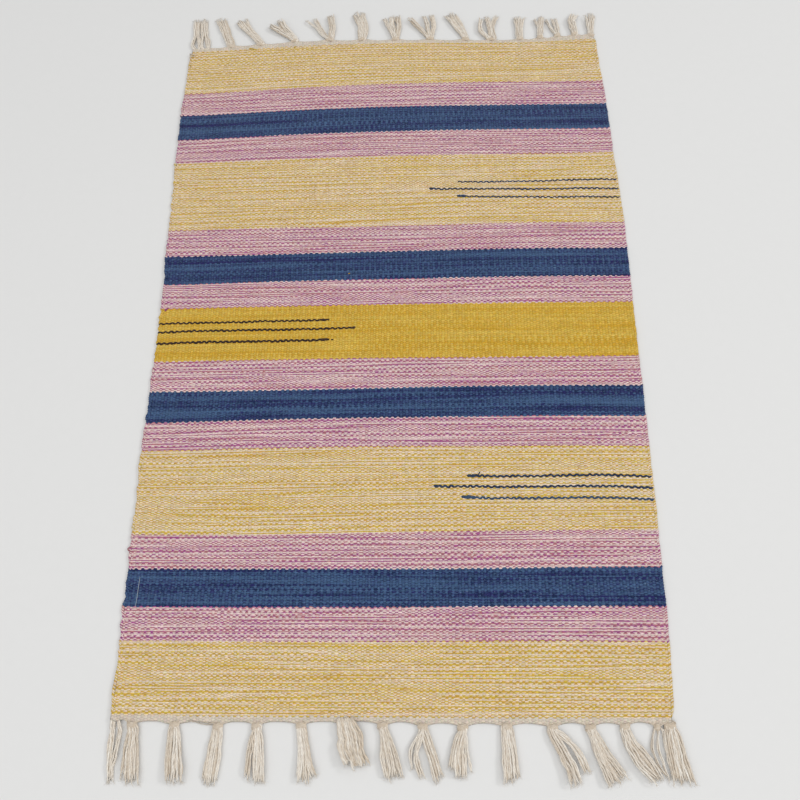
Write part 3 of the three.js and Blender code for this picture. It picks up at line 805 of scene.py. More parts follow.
class Surface:
    """Points and faces gathered from several parts, which end up as one mesh."""

    def __init__(self):
        self.points = []
        self.faces = []
        self.values = {}
        self.count = 0

    def add(self, points, face_groups, **values):
        """Adds points in metres, arrays of faces that count from the first of these points, and a
        value for each point under each name."""
        flat = points.reshape(-1, 3)
        for faces in face_groups:
            self.faces.append(faces + self.count)
        self.points.append(flat)
        for name, value in values.items():
            spread = np.broadcast_to(value, flat.shape[0]) if np.ndim(value) < 2 else value
            self.values.setdefault(name, []).append(spread)
        self.count += len(flat)

    def piece(self, name, material, maps=()):
        """The object with all of it, smooth shaded. Values named in maps become UV maps, and the
        others stay attributes."""
        points = np.concatenate(self.points)
        corners = np.concatenate([faces.ravel() for faces in self.faces])
        sizes = np.concatenate([np.full(len(faces), faces.shape[1]) for faces in self.faces])
        mesh = bpy.data.meshes.new(name)
        mesh.vertices.add(len(points))
        mesh.vertices.foreach_set("co", points.astype(np.float32).ravel())
        mesh.loops.add(len(corners))
        mesh.loops.foreach_set("vertex_index", corners.astype(np.int32))
        mesh.polygons.add(len(sizes))
        mesh.polygons.foreach_set("loop_start", (np.cumsum(sizes) - sizes).astype(np.int32))
        mesh.polygons.foreach_set("use_smooth", np.ones(len(sizes), bool))
        for value_name, parts in self.values.items():
            values = np.concatenate(parts).astype(np.float32)
            if value_name in maps:
                layer = mesh.uv_layers.new(name=value_name)
                layer.uv.foreach_set("vector", values[corners].ravel())
            else:
                mesh.attributes.new(value_name, "FLOAT", "POINT").data.foreach_set("value", values)
        mesh.update(calc_edges=True)
        mesh.validate()
        piece = bpy.data.objects.new(name, mesh)
        bpy.context.scene.collection.objects.link(piece)
        mesh.materials.append(material)
        return piece


def tube_faces(count, sides):
    """Faces of a tube of so many rings, and of the cap at each end, which is a fan round a middle
    point. The two middle points are numbered after the rings' points."""
    every = np.arange(sides)
    following = (every + 1) % sides
    last = (count - 1) * sides
    middle = np.full(sides, count * sides)
    near_cap = np.stack([middle, every, following], 1)
    far_cap = np.stack([middle + 1, last + following, last + every], 1)
    return [grid_faces(count, sides, closed=True, flipped=True), near_cap, far_cap]


def turn_round(count):
    """Even angles round a whole turn."""
    return np.linspace(0, 2 * math.pi, count, endpoint=False)


def unit(vectors):
    """Vectors brought to length 1."""
    return vectors / np.linalg.norm(vectors, axis=-1, keepdims=True)


def add_tubes(surface, paths, radii, turns=0.0, lobe=0.0, sides=8, squash=1.0, tone=0.5):
    """Adds round yarns along paths. At each point of a path stands a ring square to it, whose
    radius is the yarn's radius less lobe times half of 1 minus the cosine of twice the angle from
    the plies' turn, so that two plies wind round each other. Paths are (yarns, rings, 3) in
    metres, and a flat cap with a middle point closes each end."""
    ahead = unit(np.gradient(paths, axis=-2))
    aside = unit(np.cross(ahead, UP))
    above = np.cross(aside, ahead)
    angle = turn_round(sides)
    turned = angle - np.broadcast_to(turns, radii.shape)[..., None]
    groove = (1 - np.cos(2 * turned)) / 2
    reach = radii[..., None] * (1 - lobe * groove)
    ring = np.cos(angle)[:, None] * aside[..., None, :]
    ring = ring + squash * np.sin(angle)[:, None] * above[..., None, :]
    rings = paths[..., None, :] + reach[..., None] * ring

    yarns, count = paths.shape[:2]
    step = count * sides + 2
    starts = (np.arange(yarns) * step)[:, None, None]
    points = np.concatenate([rings.reshape(yarns, -1, 3), paths[:, :1], paths[:, -1:]], axis=1)
    # ply is 1 on a ply's crest, 0 in the groove between plies and 0 at the caps' middle points; the
    # yarn material paints shade by it.
    shine = np.concatenate([(1 - groove).reshape(yarns, -1), np.zeros((yarns, 2))], axis=1)
    tones = np.broadcast_to(np.reshape(tone, (-1, 1)), (yarns, step))
    parts = tube_faces(count, sides)
    groups = [(part[None] + starts).reshape(-1, part.shape[1]) for part in parts]
    surface.add(points, groups, ply=shine.ravel(), tone=tones.ravel())


def add_rings(surface, middles, half_width, half_height, tilt, radius, tone):
    """Adds closed rings round a bundle, each a circle swept round an ellipse in a tilted upright
    plane: across is the half width times the cosine, up the half height times the sine, and along
    is the tilt times across."""
    sides, steps = 8, 20
    around = turn_round(steps)
    across = half_width[:, None] * np.cos(around)
    up = half_height[:, None] * np.sin(around)
    paths = middles[:, None, :] + np.stack([across, tilt * across, up], axis=-1)
    ahead = unit(np.roll(paths, -1, axis=1) - np.roll(paths, 1, axis=1))
    outward = unit(paths - middles[:, None, :])
    aside = np.cross(ahead, outward)
    angle = turn_round(sides)
    ring = np.cos(angle)[:, None] * outward[..., None, :]
    ring = ring + np.sin(angle)[:, None] * aside[..., None, :]
    points = paths[..., None, :] + radius * ring
    count = len(middles)
    inner = grid_faces(steps + 1, sides, closed=True) % (steps * sides)
    faces = (inner[None] + (np.arange(count) * steps * sides)[:, None, None]).reshape(-1, 4)
    tones = np.broadcast_to(np.reshape(tone, (-1, 1, 1)), points.shape[:-1])
    # The rings take a flat ply of 0.55: an even share of the painted groove shade.
    surface.add(points, [faces], ply=np.full(tones.size, 0.55), tone=tones.ravel())


def through(points, count):
    """A smooth path through a few points: a Catmull-Rom curve, read at even steps."""
    knots = np.array(points, float)
    padded = np.concatenate([2 * knots[:1] - knots[1:2], knots, 2 * knots[-1:] - knots[-2:-1]])
    place = np.linspace(0, len(knots) - 1, count)
    at = np.minimum(place.astype(int), len(knots) - 2)
    t = (place - at)[:, None]
    a, b, c, d = (padded[at + step] for step in range(4))
    return 0.5 * (
        2 * b + (c - a) * t + (2 * a - 5 * b + 4 * c - d) * t**2 + (3 * b - a - 3 * c + d) * t**3
    )


def wander(random, shape, steps, spread):
    """Smooth random waviness: random values at a few even steps, joined by half cosine waves."""
    values = random.normal(0, spread, (*shape[:-1], steps + 1))
    place = np.linspace(0, steps, shape[-1])
    at = np.minimum(place.astype(int), steps - 1)
    share = (1 - np.cos(math.pi * (place - at))) / 2
    return values[..., at] * (1 - share) + values[..., at + 1] * share


# The cloth's outline and height, read from the packed model


def rim_points():
    """The points on the cloth's rim, where its two sides meet and a place has one height."""
    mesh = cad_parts[CLOTH_NODE].data
    points = np.empty(len(mesh.vertices) * 3, np.float32)
    mesh.vertices.foreach_get("co", points)
    points = np.unique(np.round(points.reshape(-1, 3).astype(float), 5), axis=0)
    _, first, counts = np.unique(points[:, :2], axis=0, return_index=True, return_counts=True)
    return points[first[counts == 1]]


# How far the left and the right side stand out from the packed model's at places along the rug.
STRAY_PLACES = (
    -434, -416, -393, -351, -308, -263, -216, -168, -118, -66,
    -12, 44, 103, 164, 227, 293, 362, 407, 434,
)
LEFT_STRAYS = (
    2.1, 0.4, -0.2, 0.9, -0.4, -0.3, -0.8, 0.6, -0.3, 0.3,
    -0.3, 0.1, 1.1, 0.0, 1.3, 1.1, 0.3, -0.2, -0.6,
)
RIGHT_STRAYS = (
    0.6, 0.6, 0.6, 0.6, -0.6, -0.3, -0.1, 0.3, 0.6, 0.4,
    -0.3, -0.4, 0.2, 0.5, -0.3, -0.1, -0.2, -2.5, -2.8,
)


def stray(y, strays):
    """How far a side stands out at places along the rug."""
    return rounded(y, np.array(STRAY_PLACES) * MM, np.array(strays) * MM, 4 * MM)


def in_order(points, axis):
    """Points sorted along an axis."""
    return points[np.argsort(points[:, axis])]


class Outline:
    """The cloth's edges as functions. Each is read from the rim's points between its corners."""

    HEM_START = 445 * MM
    SIDE_END = 449.5 * MM
    CORNER = 1 * MM

    def __init__(self):
        rim = rim_points()
        sides = rim[(abs(rim[:, 1]) < self.SIDE_END) & (abs(rim[:, 0]) > 290 * MM)]
        self.left_rim = in_order(sides[sides[:, 0] < 0], 1)
        self.right_rim = in_order(sides[sides[:, 0] > 0], 1)
        hems = rim[abs(rim[:, 1]) > self.HEM_START]
        inside = (hems[:, 0] > self.left(hems[:, 1]) + self.CORNER) & (
            hems[:, 0] < self.right(hems[:, 1]) - self.CORNER
        )
        hems = in_order(hems[inside], 0)
        self.near_rim = hems[hems[:, 1] < 0]
        self.far_rim = hems[hems[:, 1] > 0]

    def left(self, y):
        """The left edge: the packed model's rim, less how far the side stands out."""
        return np.interp(y, self.left_rim[:, 1], self.left_rim[:, 0]) - stray(y, LEFT_STRAYS)

    def right(self, y):
        """The right edge: the packed model's rim, plus how far the side stands out."""
        return np.interp(y, self.right_rim[:, 1], self.right_rim[:, 0]) + stray(y, RIGHT_STRAYS)

    def near(self, x):
        """The near hem: the packed model's rim, rounded, and drawn out towards its tassels."""
        drawn = rounded(x, self.near_rim[:, 0], self.near_rim[:, 1], 1.5 * MM)
        return drawn - drawn_out(x, NEAR_TASSELS, NEAR_HEM_SEED)

    def far(self, x):
        """The far hem, in the same way."""
        drawn = rounded(x, self.far_rim[:, 0], self.far_rim[:, 1], 1.5 * MM)
        return drawn + drawn_out(x, FAR_TASSELS, FAR_HEM_SEED)

    def lift(self, x, y):
        """How high the cloth's underside stands off the floor. It is highest on the rim, where the
        packed model's own rim gives it, and falls with the square of what is left to the reach."""
        sizes = bpy.context.scene.rug_weave
        rim_height = sizes.thickness / 2
        edges = (
            (y, self.left_rim, 1, x - self.left(y), sizes.side_reach),
            (y, self.right_rim, 1, self.right(y) - x, sizes.side_reach),
            (x, self.near_rim, 0, y - self.near(x), sizes.hem_reach),
            (x, self.far_rim, 0, self.far(x) - y, sizes.hem_reach),
        )
        total = 0
        for place, rim, axis, distance, reach in edges:
            height = np.interp(place, rim[:, axis], rim[:, 2]) - rim_height
            total = total + np.maximum(height, 0) * fade(distance, reach)
        return total


def drawn_out(x, tassels, seed):
    """How much further a hem stands out than the packed model's: a little everywhere, more near its
    knots, which draw it out in a bell curve each, and unevenly."""
    drawn = 0.5 * MM
    bell_width = 7 * MM
    places = np.linspace(-310, 310, 90) * MM
    uneven = np.random.default_rng(seed).normal(0, 0.3 * MM, len(places))
    bells = sum(drawn * np.exp(-(((x - tassel.x * MM) / bell_width) ** 2)) for tassel in tassels)
    return drawn + bells + rounded(x, places, uneven, 2 * MM)


def fade(distance, reach):
    """1 at no distance, falling smoothly to 0 at the reach and beyond."""
    return np.clip(1 - np.maximum(distance, 0) / reach, 0, 1) ** 2


def rounded(place, places, values, spacing):
    """Values read between given places, as the average of five readings, which rounds corners."""
    steps = np.arange(-2, 3) * spacing
    return sum(np.interp(place + step, places, values) for step in steps) / len(steps)


def first_picks(pitch):
    """The first pick of each band, counted from the first band's."""
    middles = np.array([np.mean(band.border) for band in BANDS]) * MM
    return np.round((middles - middles[0]) / pitch)


class Weft:
    """The weave's own counting, in warps from the left and in picks from the near hem. The warps'
    places are shares of the width, summed up from their uneven widths."""

    def __init__(self, outline):
        sizes = bpy.context.scene.rug_weave
        self.outline = outline
        self.sizes = sizes
        left, right = self.left(0.0), self.right(0.0)
        self.warps = int(round((right - left) / sizes.warp_pitch))
        even = left + (right - left) * (np.arange(self.warps) + 0.5) / self.warps
        widths = np.interp(even, np.array(PITCH_PLACES) * MM, WARP_PITCHES)
        widths = widths * (1 + np.random.default_rng(WARP_SEED).normal(0, 0.09, self.warps))
        self.numbers = np.arange(self.warps + 1)
        self.places = np.append(0, np.cumsum(widths)) / widths.sum()

    def left(self, y):
        """Where the warps begin: the selvedge's radius in from the left edge."""
        return self.outline.left(y) + self.sizes.selvedge

    def right(self, y):
        """Where the warps end: the selvedge's radius in from the right edge."""
        return self.outline.right(y) - self.sizes.selvedge

    def warp_at(self, x, y):
        """The warp at a place: its share of the width, looked up among the warps' places."""
        left = self.left(y)
        return np.interp((x - left) / (self.right(y) - left), self.places, self.numbers)

    def pick_at(self, x, y):
        """The pick at a place: between two borders in proportion, and beyond the last ones even. A
        band's first bead starts half a pick before its border on average."""
        places = np.array(BORDER_PLACES) * MM
        spacing = BORDER_ROUNDING * MM
        borders = [rounded(x, places, np.array(band.border) * MM, spacing) for band in BANDS]
        pitch = self.sizes.pick_pitch
        total = np.minimum(y - borders[0], 0) / pitch + np.maximum(y - borders[-1], 0) / pitch - 0.5
        starts = first_picks(pitch)
        for number, (near, far) in enumerate(zip(borders, borders[1:])):
            share = np.clip((y - near) / (far - near), 0, 1)
            total = total + (starts[number + 1] - starts[number]) * share
        return total

    def map_of(self, points):
        """The warp and the pick at each point."""
        x, y = points[..., 0], points[..., 1]
        return np.stack([self.warp_at(x, y), self.pick_at(x, y)], axis=-1).reshape(-1, 2)

    def top(self, x, y):
        """The height of the cloth's upper side at a rib."""
        return self.outline.lift(x, y) + self.sizes.thickness


# The pieces


def place_piece(piece, slot):
    """Says which body carries a piece and what it is made of."""
    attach(piece, BODY)
    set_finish(piece, slot)


# The cloth's rows: how far in from each hem the closest ones run, how far out the even ones between
# them reach, and how many those are. The columns stand at these shares of a warp.
HEM_INSETS = (0.0, 0.12, 0.45, 0.95, 1.5, 2.6, 4.2, 6.0, 8.5)
INNER_END = 438.0
INNER_ROWS = 62
RIB_PLACES = (0.0, 0.32, 0.68)


def cloth_surface(weft):
    """The cloth: two grids that share their rim. A column stands at each groove between two warps
    and at two places on each warp's rib. A row runs along each hem at each inset, and between the
    hems rows are even. Half the thickness is a quarter ellipse near a hem, less the groove. Its
    colours are baked over the whole square of a map, across and along, the same for both sides."""
    sizes = weft.sizes
    outline = weft.outline
    columns = np.append((np.arange(weft.warps)[:, None] + RIB_PLACES).ravel(), weft.warps)
    share = np.interp(columns, weft.numbers, weft.places)
    groove = np.append(np.tile([1.0, 0.0, 0.0], weft.warps), 1.0)

    insets = np.array(HEM_INSETS) * MM
    inner = np.linspace(-INNER_END, INNER_END, INNER_ROWS) * MM
    hem_row = outline.HEM_START * np.ones(len(insets))
    rows = np.concatenate([-hem_row, inner, hem_row])[:, None]
    left, right = weft.left(rows), weft.right(rows)
    x = left + (right - left) * share
    y = np.broadcast_to(rows, x.shape).copy()
    y[: len(insets)] = outline.near(x[: len(insets)]) + insets[:, None]
    y[-len(insets) :] = outline.far(x[-len(insets) :]) - insets[::-1, None]

    inset = np.full(len(rows), insets[-1])
    inset[: len(insets)] = insets
    inset[-len(insets) :] = insets[::-1]
    half_thickness = sizes.thickness / 2
    close = np.clip(1 - inset / half_thickness, 0, 1)[:, None]
    full = np.sqrt(1 - close**2)
    half = half_thickness * full - sizes.groove * groove * full
    half[:, [0, -1]] = 0
    middle = outline.lift(x, y) + half_thickness
    upper = np.stack([x, y, middle + half], axis=-1)
    lower = np.stack([x, y, middle - half], axis=-1)

    shape = x.shape
    number = np.arange(x.size).reshape(shape)
    rim = np.zeros(shape, bool)
    rim[[0, -1]] = True
    rim[:, [0, -1]] = True
    below = number + x.size
    below[rim] = number[rim]
    quads = grid_faces(*shape)
    under = below.ravel()[quads][:, ::-1]
    used, places = np.unique(np.concatenate([under, quads]), return_inverse=True)
    faces = places.reshape(-1, 4)
    points = np.concatenate([upper.reshape(-1, 3), lower.reshape(-1, 3)])[used]
    # Painted shade along the hems' outer rim, stored as edge: 1 up to 0.6 mm in and 0 from 1.6 mm,
    # at full strength on the near hem and 0.3 on the far one.
    strength = np.where(y < 0, 1.0, 0.3) * np.clip(1.6 - inset[:, None] / MM, 0, 1)
    edge = np.tile(strength.ravel(), 2)[used]
    spread = np.ptp(points[:, :2], axis=0)
    baking = 0.002 + 0.996 * (points[:, :2] - points[:, :2].min(axis=0)) / spread
    surface = Surface()
    surface.add(points, [faces], weave=weft.map_of(points), edge=edge, OFBake=baking)
    return surface


def selvedge_surface(weft, side, random):
    """The cord along one side, wrapped by the weft as it turns back: an upright oval carried along
    the cloth's edge, whose radius swells once for every second pick and wanders a little."""
    sizes = weft.sizes
    steps_for_wrap = 5
    ends = 447 * MM
    count = int(round(2 * ends / (2 * sizes.pick_pitch) * steps_for_wrap))
    y = np.linspace(-ends, ends, count)
    edge = weft.left(y) if side < 0 else weft.right(y)
    pick = weft.pick_at(edge, y)
    swell = 0.5 + 0.5 * np.cos(math.pi * (pick - (1 if side < 0 else 0)))
    loose = wander(random, (count,), 230, 0.65 * MM) + wander(random, (count,), 90, 0.5 * MM)
    loose = (loose + wander(random, (count,), 24, 0.25 * MM)) * (1.0 if side < 0 else 0.35)
    across = sizes.selvedge * (0.84 + 0.2 * swell)
    upright = sizes.thickness / 2 * (0.95 + 0.1 * swell)
    ends_in = np.clip((ends - abs(y)) / (4 * MM), 0.25, 1) ** 0.5
    sides = 14
    angle = turn_round(sides)
    lean = 0.9 * sizes.pick_pitch * side
    middle = weft.outline.lift(edge, y) + sizes.thickness / 2 + 0.15 * MM
    x = edge[:, None] + side * loose[:, None] + (across * ends_in)[:, None] * np.cos(angle)
    up = middle[:, None] + (upright * ends_in)[:, None] * np.sin(angle)
    along = y[:, None] + lean * np.cos(angle)
    points = np.stack([x, along, up], axis=-1)
    caps = np.stack([points[0].mean(0), points[-1].mean(0)])
    all_points = np.concatenate([points.reshape(-1, 3), caps])
    surface = Surface()
    wrapped = np.cos(angle) * 0.5 + (-0.5 if side < 0 else weft.warps + 0.5)
    warp = np.broadcast_to(wrapped, (count, sides)).ravel()
    warp = np.concatenate([warp, np.full(2, wrapped.mean())])
    picks = np.broadcast_to(pick[:, None], (count, sides)).ravel()
    picks = np.concatenate([picks, pick[[0, -1]]])
    surface.add(all_points, tube_faces(count, sides), weave=np.stack([warp, picks], axis=-1))
    return surface


INLAY_STEP = 0.56 * MM  # from one ring of an inlaid line to the next
INLAY_SWING = 0.68 * MM  # about half a pick


def inlay_surface(weft, lines, random):
    """The inlaid lines: yarns that lie on the cloth and swing half a bead up over one warp and half
    a bead down over the next, dipping a little between warps, each with its doubled free end."""
    surface = Surface()
    for line in lines:
        free = np.array(line.free) * MM
        side = np.array(line.side) * MM
        to_edge = weft.outline.left if side[0] < 0 else weft.outline.right
        side[0] = to_edge(side[1]) - math.copysign(0.5 * MM, side[0])
        count = int(abs(side[0] - free[0]) / INLAY_STEP)
        share = np.linspace(0, 1, count)
        x = free[0] + (side[0] - free[0]) * share
        ends = sorted([free[0], side[0]])
        places = np.linspace(ends[0] + 3 * MM, ends[1] - 6 * MM, len(line.bends))
        strays = np.array(line.bends) * MM
        level = free[1] + (side[1] - free[1]) * share + rounded(x, places, strays, 5 * MM)
        warp = weft.warp_at(x, level)
        vary = 1 + wander(random, (count,), count // 8, 0.22)
        y = level + INLAY_SWING * vary * np.cos(math.pi * (warp - 0.5))
        y = y + wander(random, (count,), count // 14, 0.2 * MM)
        crest = 0.5 - 0.5 * np.cos(2 * math.pi * warp)
        inside = np.clip(abs(to_edge(y) - x) / weft.sizes.selvedge, 0, 1)
        sunk = 1.3 * MM * (1 - np.sqrt(1 - (1 - inside) ** 2))
        z = weft.top(x, y) + (-0.2 + 0.22 * crest) * MM - sunk
        thick = line.width / 2 * MM * (1 + wander(random, (count,), count // 7, 0.09))
        thick = thick * np.clip(np.minimum(share, 1 - share) * count / 4 + 0.3, 0, 1)
        path = np.stack([x, y, z], axis=-1)[None]
        turns = warp[None] * math.pi * 0.8
        add_tubes(surface, path, thick[None], turns, 0.22, squash=0.5, tone=line.shade)
        if line.tuck:
            heading = 1 if side[0] > free[0] else -1
            steps = 18
            doubled = np.linspace(-0.5 * MM, line.tuck * MM, steps)
            bulge = np.sin(np.linspace(0.35, math.pi - 0.25, steps)) ** 0.6
            bulk = line.tuck_width / 2 * MM * bulge
            tuck_x = free[0] + heading * doubled
            bend = rounded(tuck_x, places, strays, 5 * MM)
            tuck_y = free[1] + bend + 0.5 * MM + 0.4 * MM * np.sin(doubled / MM)
            tuck_z = weft.top(tuck_x, tuck_y) + 0.15 * MM
            tuck = np.stack([tuck_x, tuck_y, tuck_z], axis=-1)[None]
            turns = doubled[None] / MM
            tone = line.shade + 0.1
            add_tubes(surface, tuck, bulk[None], turns, 0.2, sides=10, squash=0.5, tone=tone)
    return surface


class Root(NamedTuple):
    """Where a tassel is tied: the middle of its knot across and along, which way leads off the rug,
    and the cloth's own sides, hem and height as functions of the place."""

    x: float
    y: float
    outward: int
    hem: object
    weft: object

    def world(self, points):
        """Points from the tassel's own frame, where +Y leads off the rug."""
        placed = points.copy()
        placed[..., 0] += self.x
        placed[..., 1] = self.y + self.outward * points[..., 1]
        return placed


def lock_paths(tassel, yarns, points, sizes, random):
    """The yarns of one lock: side by side about its middle line, closest at the knot and swaying a
    little. Every second one lies on its neighbours, at 0.6 of the height at which round yarns
    would, which is the root of the squared diameter less the squared pitch. They come down from
    the knot's height with the square of what is left to a tenth of the length, or further where
    they start higher, and rise to their tips with its power 1.6. The last ones, one fewer, lie
    between the others and 0.4 of a diameter lower."""
    rings = 34
    diameter = sizes.diameter * tassel.girth
    if tassel.knotted:
        points = ((0.35 * points[0][0], -1.5), *points)
    middle = through(points, 120) * MM
    ahead = unit(np.gradient(middle, axis=0))
    upper = np.arange(2 * yarns - 1) < yarns
    number = np.append(np.arange(yarns), np.arange(yarns - 1) + 0.5) - (yarns - 1) / 2
    yarns = len(number)
    end = 1 - random.uniform(0, 0.09, yarns) - np.where(upper, 0, 0.03)
    share = np.linspace(0, 1, rings)
    at = share * end[:, None]
    steps = np.linspace(0, 1, len(middle))
    line = np.stack([np.interp(at, steps, middle[:, axis]) for axis in (0, 1)], axis=-1)
    aside = [np.interp(at, steps, ahead[:, 1]), -np.interp(at, steps, ahead[:, 0])]
    aside = np.stack(aside, axis=-1)
    pitch = diameter * np.interp(at, [0, 0.12, 0.4, 0.8, 1], [0.32, 0.44, 0.58, 0.67, 0.8])
    free = np.clip(at * 4, 0, 1)
    sway = wander(random, (1, rings), 4, 0.5 * MM) + wander(random, (yarns, rings), 8, 0.45 * MM)
    across = number[:, None] * pitch + sway * free
    flat = line + aside * across[..., None]
    stacked = (np.abs(number * 2 - number[0] * 2) % 4 > 1) & upper
    raised = stacked[:, None] * np.sqrt(diameter**2 - pitch**2) * 0.6
    raised = raised + upper[:, None] * 0.4 * diameter
    raised = raised * np.clip(at * 6, 0.3, 1)
    bulk = random.uniform(0.1, 0.8) * MM * np.sin(math.pi * at**0.7)
    start = (1.3 + tassel.lift) * MM * np.clip(1 - at / (0.1 + 0.12 * tassel.lift), 0, 1) ** 2
    start = start - tassel.lift * 0.9 * MM * np.clip(1 - at / 0.09, 0, 1)
    rise = tassel.rise * MM * at**1.6 * (1 + 0.2 * random.normal(size=yarns))[:, None]
    thin = 1 - 0.5 * np.clip((share - 0.9) / 0.1, 0, 1)
    girth = diameter / 2 * random.uniform(0.85, 1.12, yarns)[:, None] * thin
    girth = girth * (1 + wander(random, (yarns, rings), 14, 0.07))
    uneven = abs(wander(random, (yarns, rings), 8, 0.2 * MM)) * free
    height = girth + raised + bulk + start + np.maximum(rise, 0) + uneven
    return np.concatenate([flat, height[..., None]], axis=-1), girth, upper


def tassel_surface(tassel, root, sizes, random):
    """One tassel: its locks, the fine fibres on them, and its knot with the warps that run in."""
    surface = Surface()
    locks = [lock_paths(tassel, lock[0], lock[1:], sizes, random) for lock in tassel.locks]
    paths, girth, upper = (np.concatenate(parts) for parts in zip(*locks))
    yarns = len(paths)
    turns = paths[..., 1] / sizes.twist * 2 * math.pi + random.uniform(0, math.pi, yarns)[:, None]
    # Random tone for each yarn; the lower layer's is cut to 0.3 of it, painted shade on the yarns
    # beneath.
    tone = np.clip(random.normal(0.55, 0.3, yarns), 0, 1) * np.where(upper, 1.0, 0.3)
    add_tubes(surface, root.world(paths), girth, turns, 0.13, tone=tone)
    add_fibres(surface, paths[upper], girth[upper], root, random)
    add_frayed_tips(surface, paths[upper], root, random)
    if tassel.knotted:
        add_knot(surface, tassel, root, sizes, random)
        add_gathered_warps(surface, root, random)
    return surface


def add_frayed_tips(surface, paths, root, random):
    """Fine fibres that carry on from each yarn's tip and spread a little, down to the floor."""
    fibres = 8
    tips = np.repeat(paths[:, -1], fibres, axis=0)
    ahead = np.repeat(unit(paths[:, -1] - paths[:, -6]), fibres, axis=0)
    start = tips - ahead * 1.5 * MM
    start[:, :2] += random.normal(0, 0.28 * MM, (len(tips), 2))
    length = random.uniform(2.0, 6.5, len(tips)) * MM
    turn = random.normal(0, 0.5, len(tips))
    add_curved_fibres(surface, start, ahead, turn, length, -0.6, 0.16 * MM, root, random)


def add_fibres(surface, paths, girth, root, random):
    """Fine fibres that stand off the yarns here and there along their length."""
    fibres = 6
    yarns, rings = paths.shape[:2]
    which = np.repeat(np.arange(yarns), fibres)
    where = random.integers(4, rings - 8, len(which))
    ahead = unit(paths[which, where + 4] - paths[which, where])
    start = paths[which, where]
    side = random.choice([-1, 1], len(which))
    start[:, 0] += side * girth[which, where] * 0.6
    start[:, 2] += girth[which, where] * 0.7
    length = random.uniform(3.0, 7.0, len(which)) * MM
    turn = -side * random.uniform(0.1, 0.7, len(which))
    add_curved_fibres(surface, start, ahead, turn, length, 0.0, 0.09 * MM, root, random)


def add_curved_fibres(surface, start, ahead, turn, length, fall, radius, root, random):
    """Fibres from a start point, at first straight ahead and then turning aside with the square of
    the share of their length, while their height changes by the fall times itself."""
    steps = 5
    turned = np.stack(
        [
            ahead[:, 0] * np.cos(turn) - ahead[:, 1] * np.sin(turn),
            ahead[:, 0] * np.sin(turn) + ahead[:, 1] * np.cos(turn),
            np.zeros(len(turn)),
        ],
        axis=-1,
    )
    share = np.linspace(0, 1, steps)[None, :, None]
    straight = ahead[:, None] * share * length[:, None, None]
    aside = (turned - ahead)[:, None] * share**2 * length[:, None, None]
    path = start[:, None] + straight + aside
    path[..., 2] = np.maximum(start[:, None, 2] * (1 + fall * share[..., 0]), 0.15 * MM)
    radii = np.broadcast_to(radius * (1 - 0.6 * share[..., 0]), path.shape[:2])
    tone = random.uniform(0.5, 1.0, len(turn))
    add_tubes(surface, root.world(path), radii, sides=3, tone=tone)


def add_knot(surface, tassel, root, sizes, random):
    """The knot: a barrel that bulges with part of a sine wave and tapers off the rug, and slanting
    turns of yarn that lie mostly sunk in it."""
    span = sizes.knot_length
    yarns = sum(lock[0] for lock in tassel.locks)
    half_width = (2.9 + 0.19 * yarns) * MM * tassel.girth
    half_height = 2.3 * MM
    steps = 11
    place = np.linspace(0, 1, steps)
    swell = 0.5 + 0.5 * np.sin(math.pi * (0.12 + 0.83 * place))
    along = (place - 0.5) * span
    height = 2.9 * MM - 0.35 * MM * place
    core = np.stack([np.zeros(steps), along, height], axis=-1)[None]
    squash = half_height / half_width
    radii = half_width * swell[None]
    add_tubes(surface, root.world(core), radii, sides=16, squash=squash, tone=-0.2)
    wraps = 5
    turn = np.append((np.arange(wraps - 1) + 0.5) / wraps, 0.93)
    thickness = 0.65 * MM
    tilt = random.choice([-1, 1]) * random.uniform(0.25, 0.5)
    at = np.interp(turn, place, swell)
    raised = np.interp(turn, place, height)
    middles = np.stack([np.zeros(wraps), (turn - 0.5) * span, raised], axis=-1)
    # The last turn's tone is 0.2 lower: painted shade.
    tone = random.uniform(-0.2, 0.15, wraps) - 0.2 * (turn > 0.9)
    across = half_width * at - thickness * 0.55
    up = half_height * at - thickness * 0.55
    add_rings(surface, root.world(middles), across, up, tilt, thickness, tone)


def add_gathered_warps(surface, root, random):
    """Warps that run inside the hem's edge from both sides and turn off the rug over the knot: each
    keeps its inset from the hem at first, and leaves it with the square of the share."""
    warps = 8
    steps = 16
    side = np.repeat([-1, 1], warps // 2)
    rank = np.tile(np.linspace(0, 1, warps // 2), 2)
    share = np.linspace(0, 1, steps)
    from_x = side * (2.0 + rank * 8.0) * MM * random.uniform(0.8, 1.2, warps)
    to_x = side * (0.6 + 2.6 * rank) * MM
    x = from_x[:, None] + (to_x - from_x)[:, None] * share
    y = root.outward * (root.hem(root.x + from_x) - root.y)
    start = y - (3.6 - 2.2 * rank) * MM
    along = start[:, None] + (-0.8 * MM - start)[:, None] * share**2
    world = root.world(np.stack([x, along, np.zeros_like(x)], axis=-1))
    outline = root.weft.outline
    left = outline.left(world[..., 1]) + 1.5 * MM
    right = outline.right(world[..., 1]) - 1.5 * MM
    world[..., 0] = np.clip(world[..., 0], left, right)
    bed = root.weft.top(world[..., 0], world[..., 1]) - 0.35 * MM
    world[..., 2] = bed + (3.7 * MM - bed) * np.clip(share * 2 - 1, 0, 1) ** 2
    radii = 0.5 * MM * np.clip(share * 4 + 0.3, 0, 1) * np.ones((warps, 1))
    add_tubes(surface, world, radii, sides=6, tone=random.uniform(-0.2, 0.2, warps))


